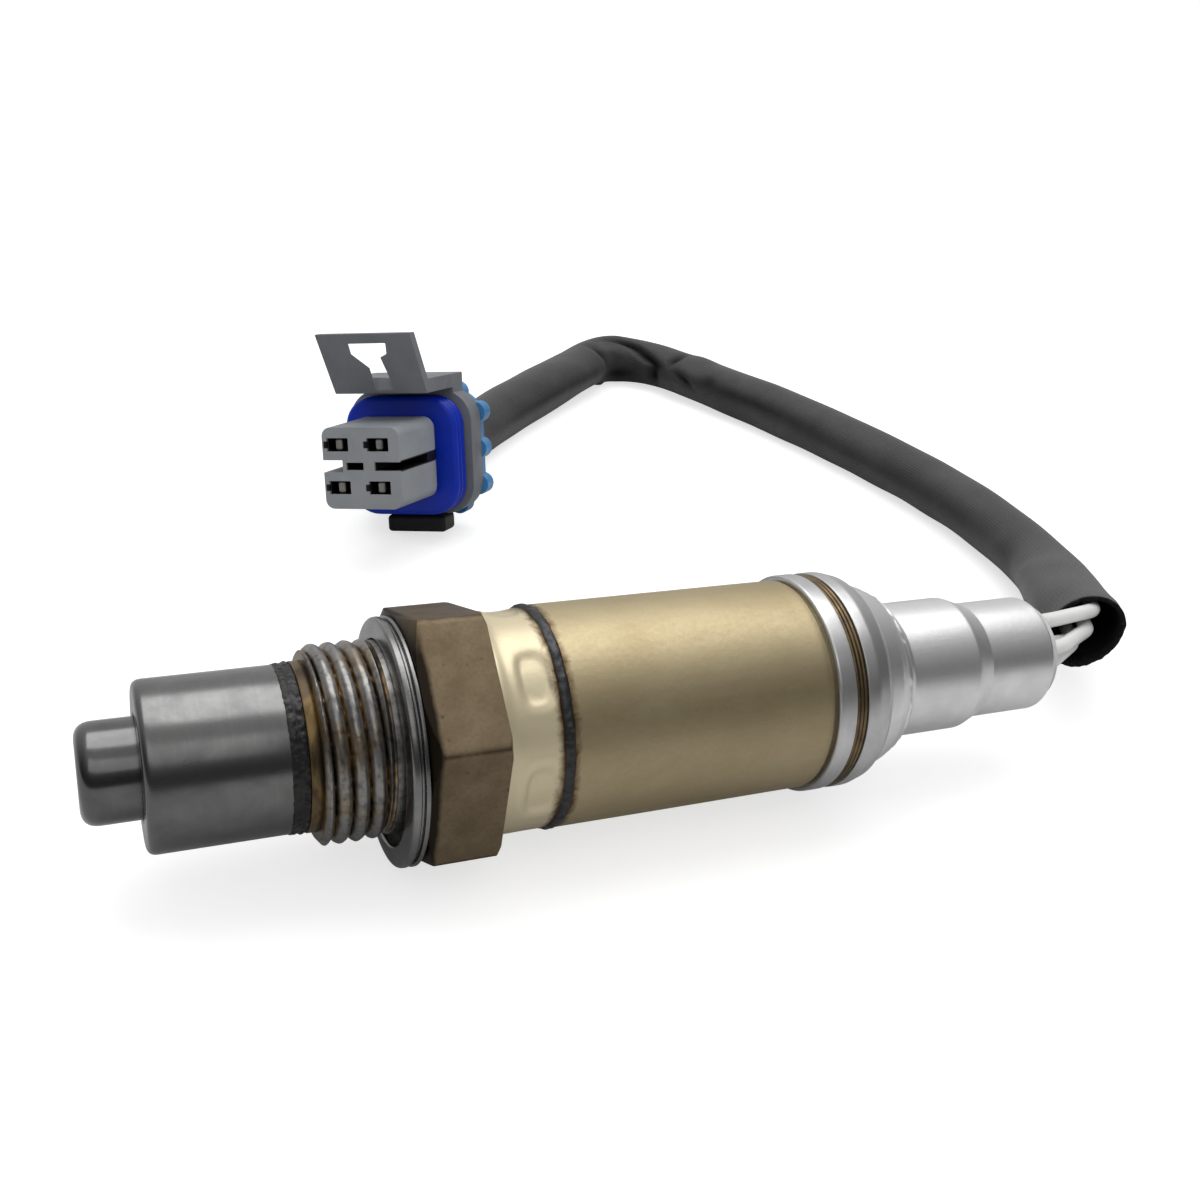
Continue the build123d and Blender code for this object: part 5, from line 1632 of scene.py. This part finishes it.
@dataclass
class RearEnd(SubAssembly):
    """Steel ring with its vent band, the drawn cap and the grommet in the cap's mouth."""

    ring_front: float = 40.2
    ring_r: float = 11.1
    groove: tuple[float, float] = (42.1, 43.4)
    crimp_x: float = 46.7
    crimp_r: float = 9.95
    body_x: float = 51.3
    body_r: float = 7.07
    step: tuple[float, float] = (59.3, 62.0)
    neck_r: float = 6.18
    rear: float = 70.0
    mouth_r: float = 5.5
    wall: float = 0.5
    groove_depth: float = 0.42
    ring_bore: float = 10.25
    ring_lip: tuple[float, float] = (45.5, 9.68)
    flange_x: tuple[float, float] = (45.0, 45.46)
    flange_r: tuple[float, float] = (10.2, 9.65)
    cap_bore: float = 9.15

    def ring(self) -> Piece:
        """Grooved ring whose rear end is drawn in like a bell.

        Returns:
            The ring.
        """
        low, high = self.groove
        floor_r = self.ring_r - self.groove_depth
        lip_x, lip_r = self.ring_lip
        return turned("steel_ring", densify(soften([
            (self.ring_front, self.ring_bore, 0.02), (self.ring_front, self.ring_r, 0.35), (low, self.ring_r, 0.12),
            (low, floor_r, 0.05), (high, floor_r, 0.05), (high, self.ring_r, 0.12), (44.7, self.ring_r, 1.6),
            (46.1, floor_r, 0.5), (self.crimp_x, 10.18, 0.25), (self.crimp_x, lip_r, 0.02), (lip_x, lip_r, 0.02),
            (lip_x, self.ring_bore, 0.02),
        ], 7), 0.6))

    def band(self) -> Piece:
        """Band in the groove: three fine cords side by side, as three arches along the axis.

        Returns:
            The band.
        """
        low, high = self.groove
        share = np.linspace(0, 1, 37)
        outer = np.stack([low + 0.03 + share * (high - low - 0.06),
                          10.78 + 0.2 * np.sqrt(np.abs(np.sin(3 * np.pi * share)))], -1)
        return turned("groove_band", np.vstack([outer, [[high - 0.03, 10.69], [low + 0.03, 10.69]]]))

    def cap(self) -> Piece:
        """Drawn cap: the cone carries two folds with small wrinkles round it, and the rest is turned.

        Returns:
            The cap.
        """
        angle = circle(AROUND)[None, :]
        (front, back), (flange_r, fold_r) = self.flange_x, self.flange_r
        outline = densify(soften([
            (front, flange_r, 0.02), (back, flange_r, 0.02), (back, fold_r, 0.02), (self.crimp_x + 0.04, fold_r, 0.02),
            (self.crimp_x + 0.1, self.crimp_r, 0.12), (48.7, 9.3, 1.8),
            (50.55, 8.2, 0.3), (50.78, 7.72, 0.12), (51.1, 7.3, 0.12), (51.6, self.body_r, 0.4),
            (self.step[0] + 0.4, self.body_r, 1.1), (61.95, self.neck_r + 0.01, 0.1), (self.rear, self.neck_r, 0.6),
            (self.rear, self.mouth_r, 0.2), (self.rear - self.wall, self.mouth_r, 0.1),
            (self.rear - self.wall, self.neck_r - self.wall, 0.1), (self.step[1] - 0.1, self.neck_r - self.wall, 0.8),
            (self.step[0] - 0.1, self.body_r - self.wall, 0.8), (self.body_x, self.body_r - self.wall, 0.6),
            (self.crimp_x - 0.1, self.cap_bore, 0.3), (front, self.cap_bore, 0.02),
        ], 8), 0.35)
        station, radius = outline[:, :1], outline[:, 1:]
        outside = radius > np.interp(station, [46.7, 51.5], [9.3, 6.8])
        fold = 0.1 * np.exp(-((station - 50.15) / 0.12) ** 2) - 0.09 * np.exp(-((station - 49.85) / 0.12) ** 2)
        fold = fold + 0.05 * np.exp(-((station - 49.4) / 0.2) ** 2)
        wrinkle = np.exp(-((station - 50.1) / 0.5) ** 2) * 0.05 * waves(angle, station, 17, 14, 44, 1.5)
        radius = radius + np.where(outside & (station < 52), fold + wrinkle, 0)
        return add_grid("drawn_cap", ring_points(station, radius, angle)[::-1], close_rows=True)

    def build(self) -> None:
        """Build and dress the ring, band, cap and grommet."""
        self.stand(self.ring(), "retaining_ring", "ring", "ring_steel")
        self.stand(self.band(), "vent_band", "band", "vent_band")
        self.stand(self.cap(), "rear_cap", "cap", "cap_steel")
        self.finishes.dress(bevelled_copy("grommet", "wire_grommet", 0.12), "grommet", "grommet_rubber")


@dataclass
class Inside(SubAssembly):
    """Pieces inside the sensor, kept from the CAD model and dressed."""

    finish_of: dict[str, str] = field(default_factory=lambda: {
        "sensing_element": "zirconia", "heater_rod": "heater", "seal_packing": "talc", "support_bush": "ceramic",
        "clamp_ring": "clamp", "ceramic_sleeve": "ceramic", "contact_bushing": "ceramic", "bushing_spring": "clamp",
        "signal_terminal": "contact", "ground_terminal": "contact", "heater_terminal_1": "contact",
        "heater_terminal_2": "contact",
    })

    def build(self) -> None:
        """Dress the CAD nodes inside."""
        for node, finish in self.finish_of.items():
            self.finishes.dress(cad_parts[node], finish)


def main() -> None:
    """Build the studio, the lead and the sensor in order."""
    logging.basicConfig(level=logging.INFO, format="%(message)s")
    finishes = Finishes()
    Studio().build()
    connector = Connector(finishes)
    carried = connector.build() + Wires(finishes).build(connector)
    Lead(finishes).build(carried)
    for part in (Tip, ThreadedShell, Housing, RearEnd, Inside):
        part(finishes).build()


if __name__ == "__main__":
    main()
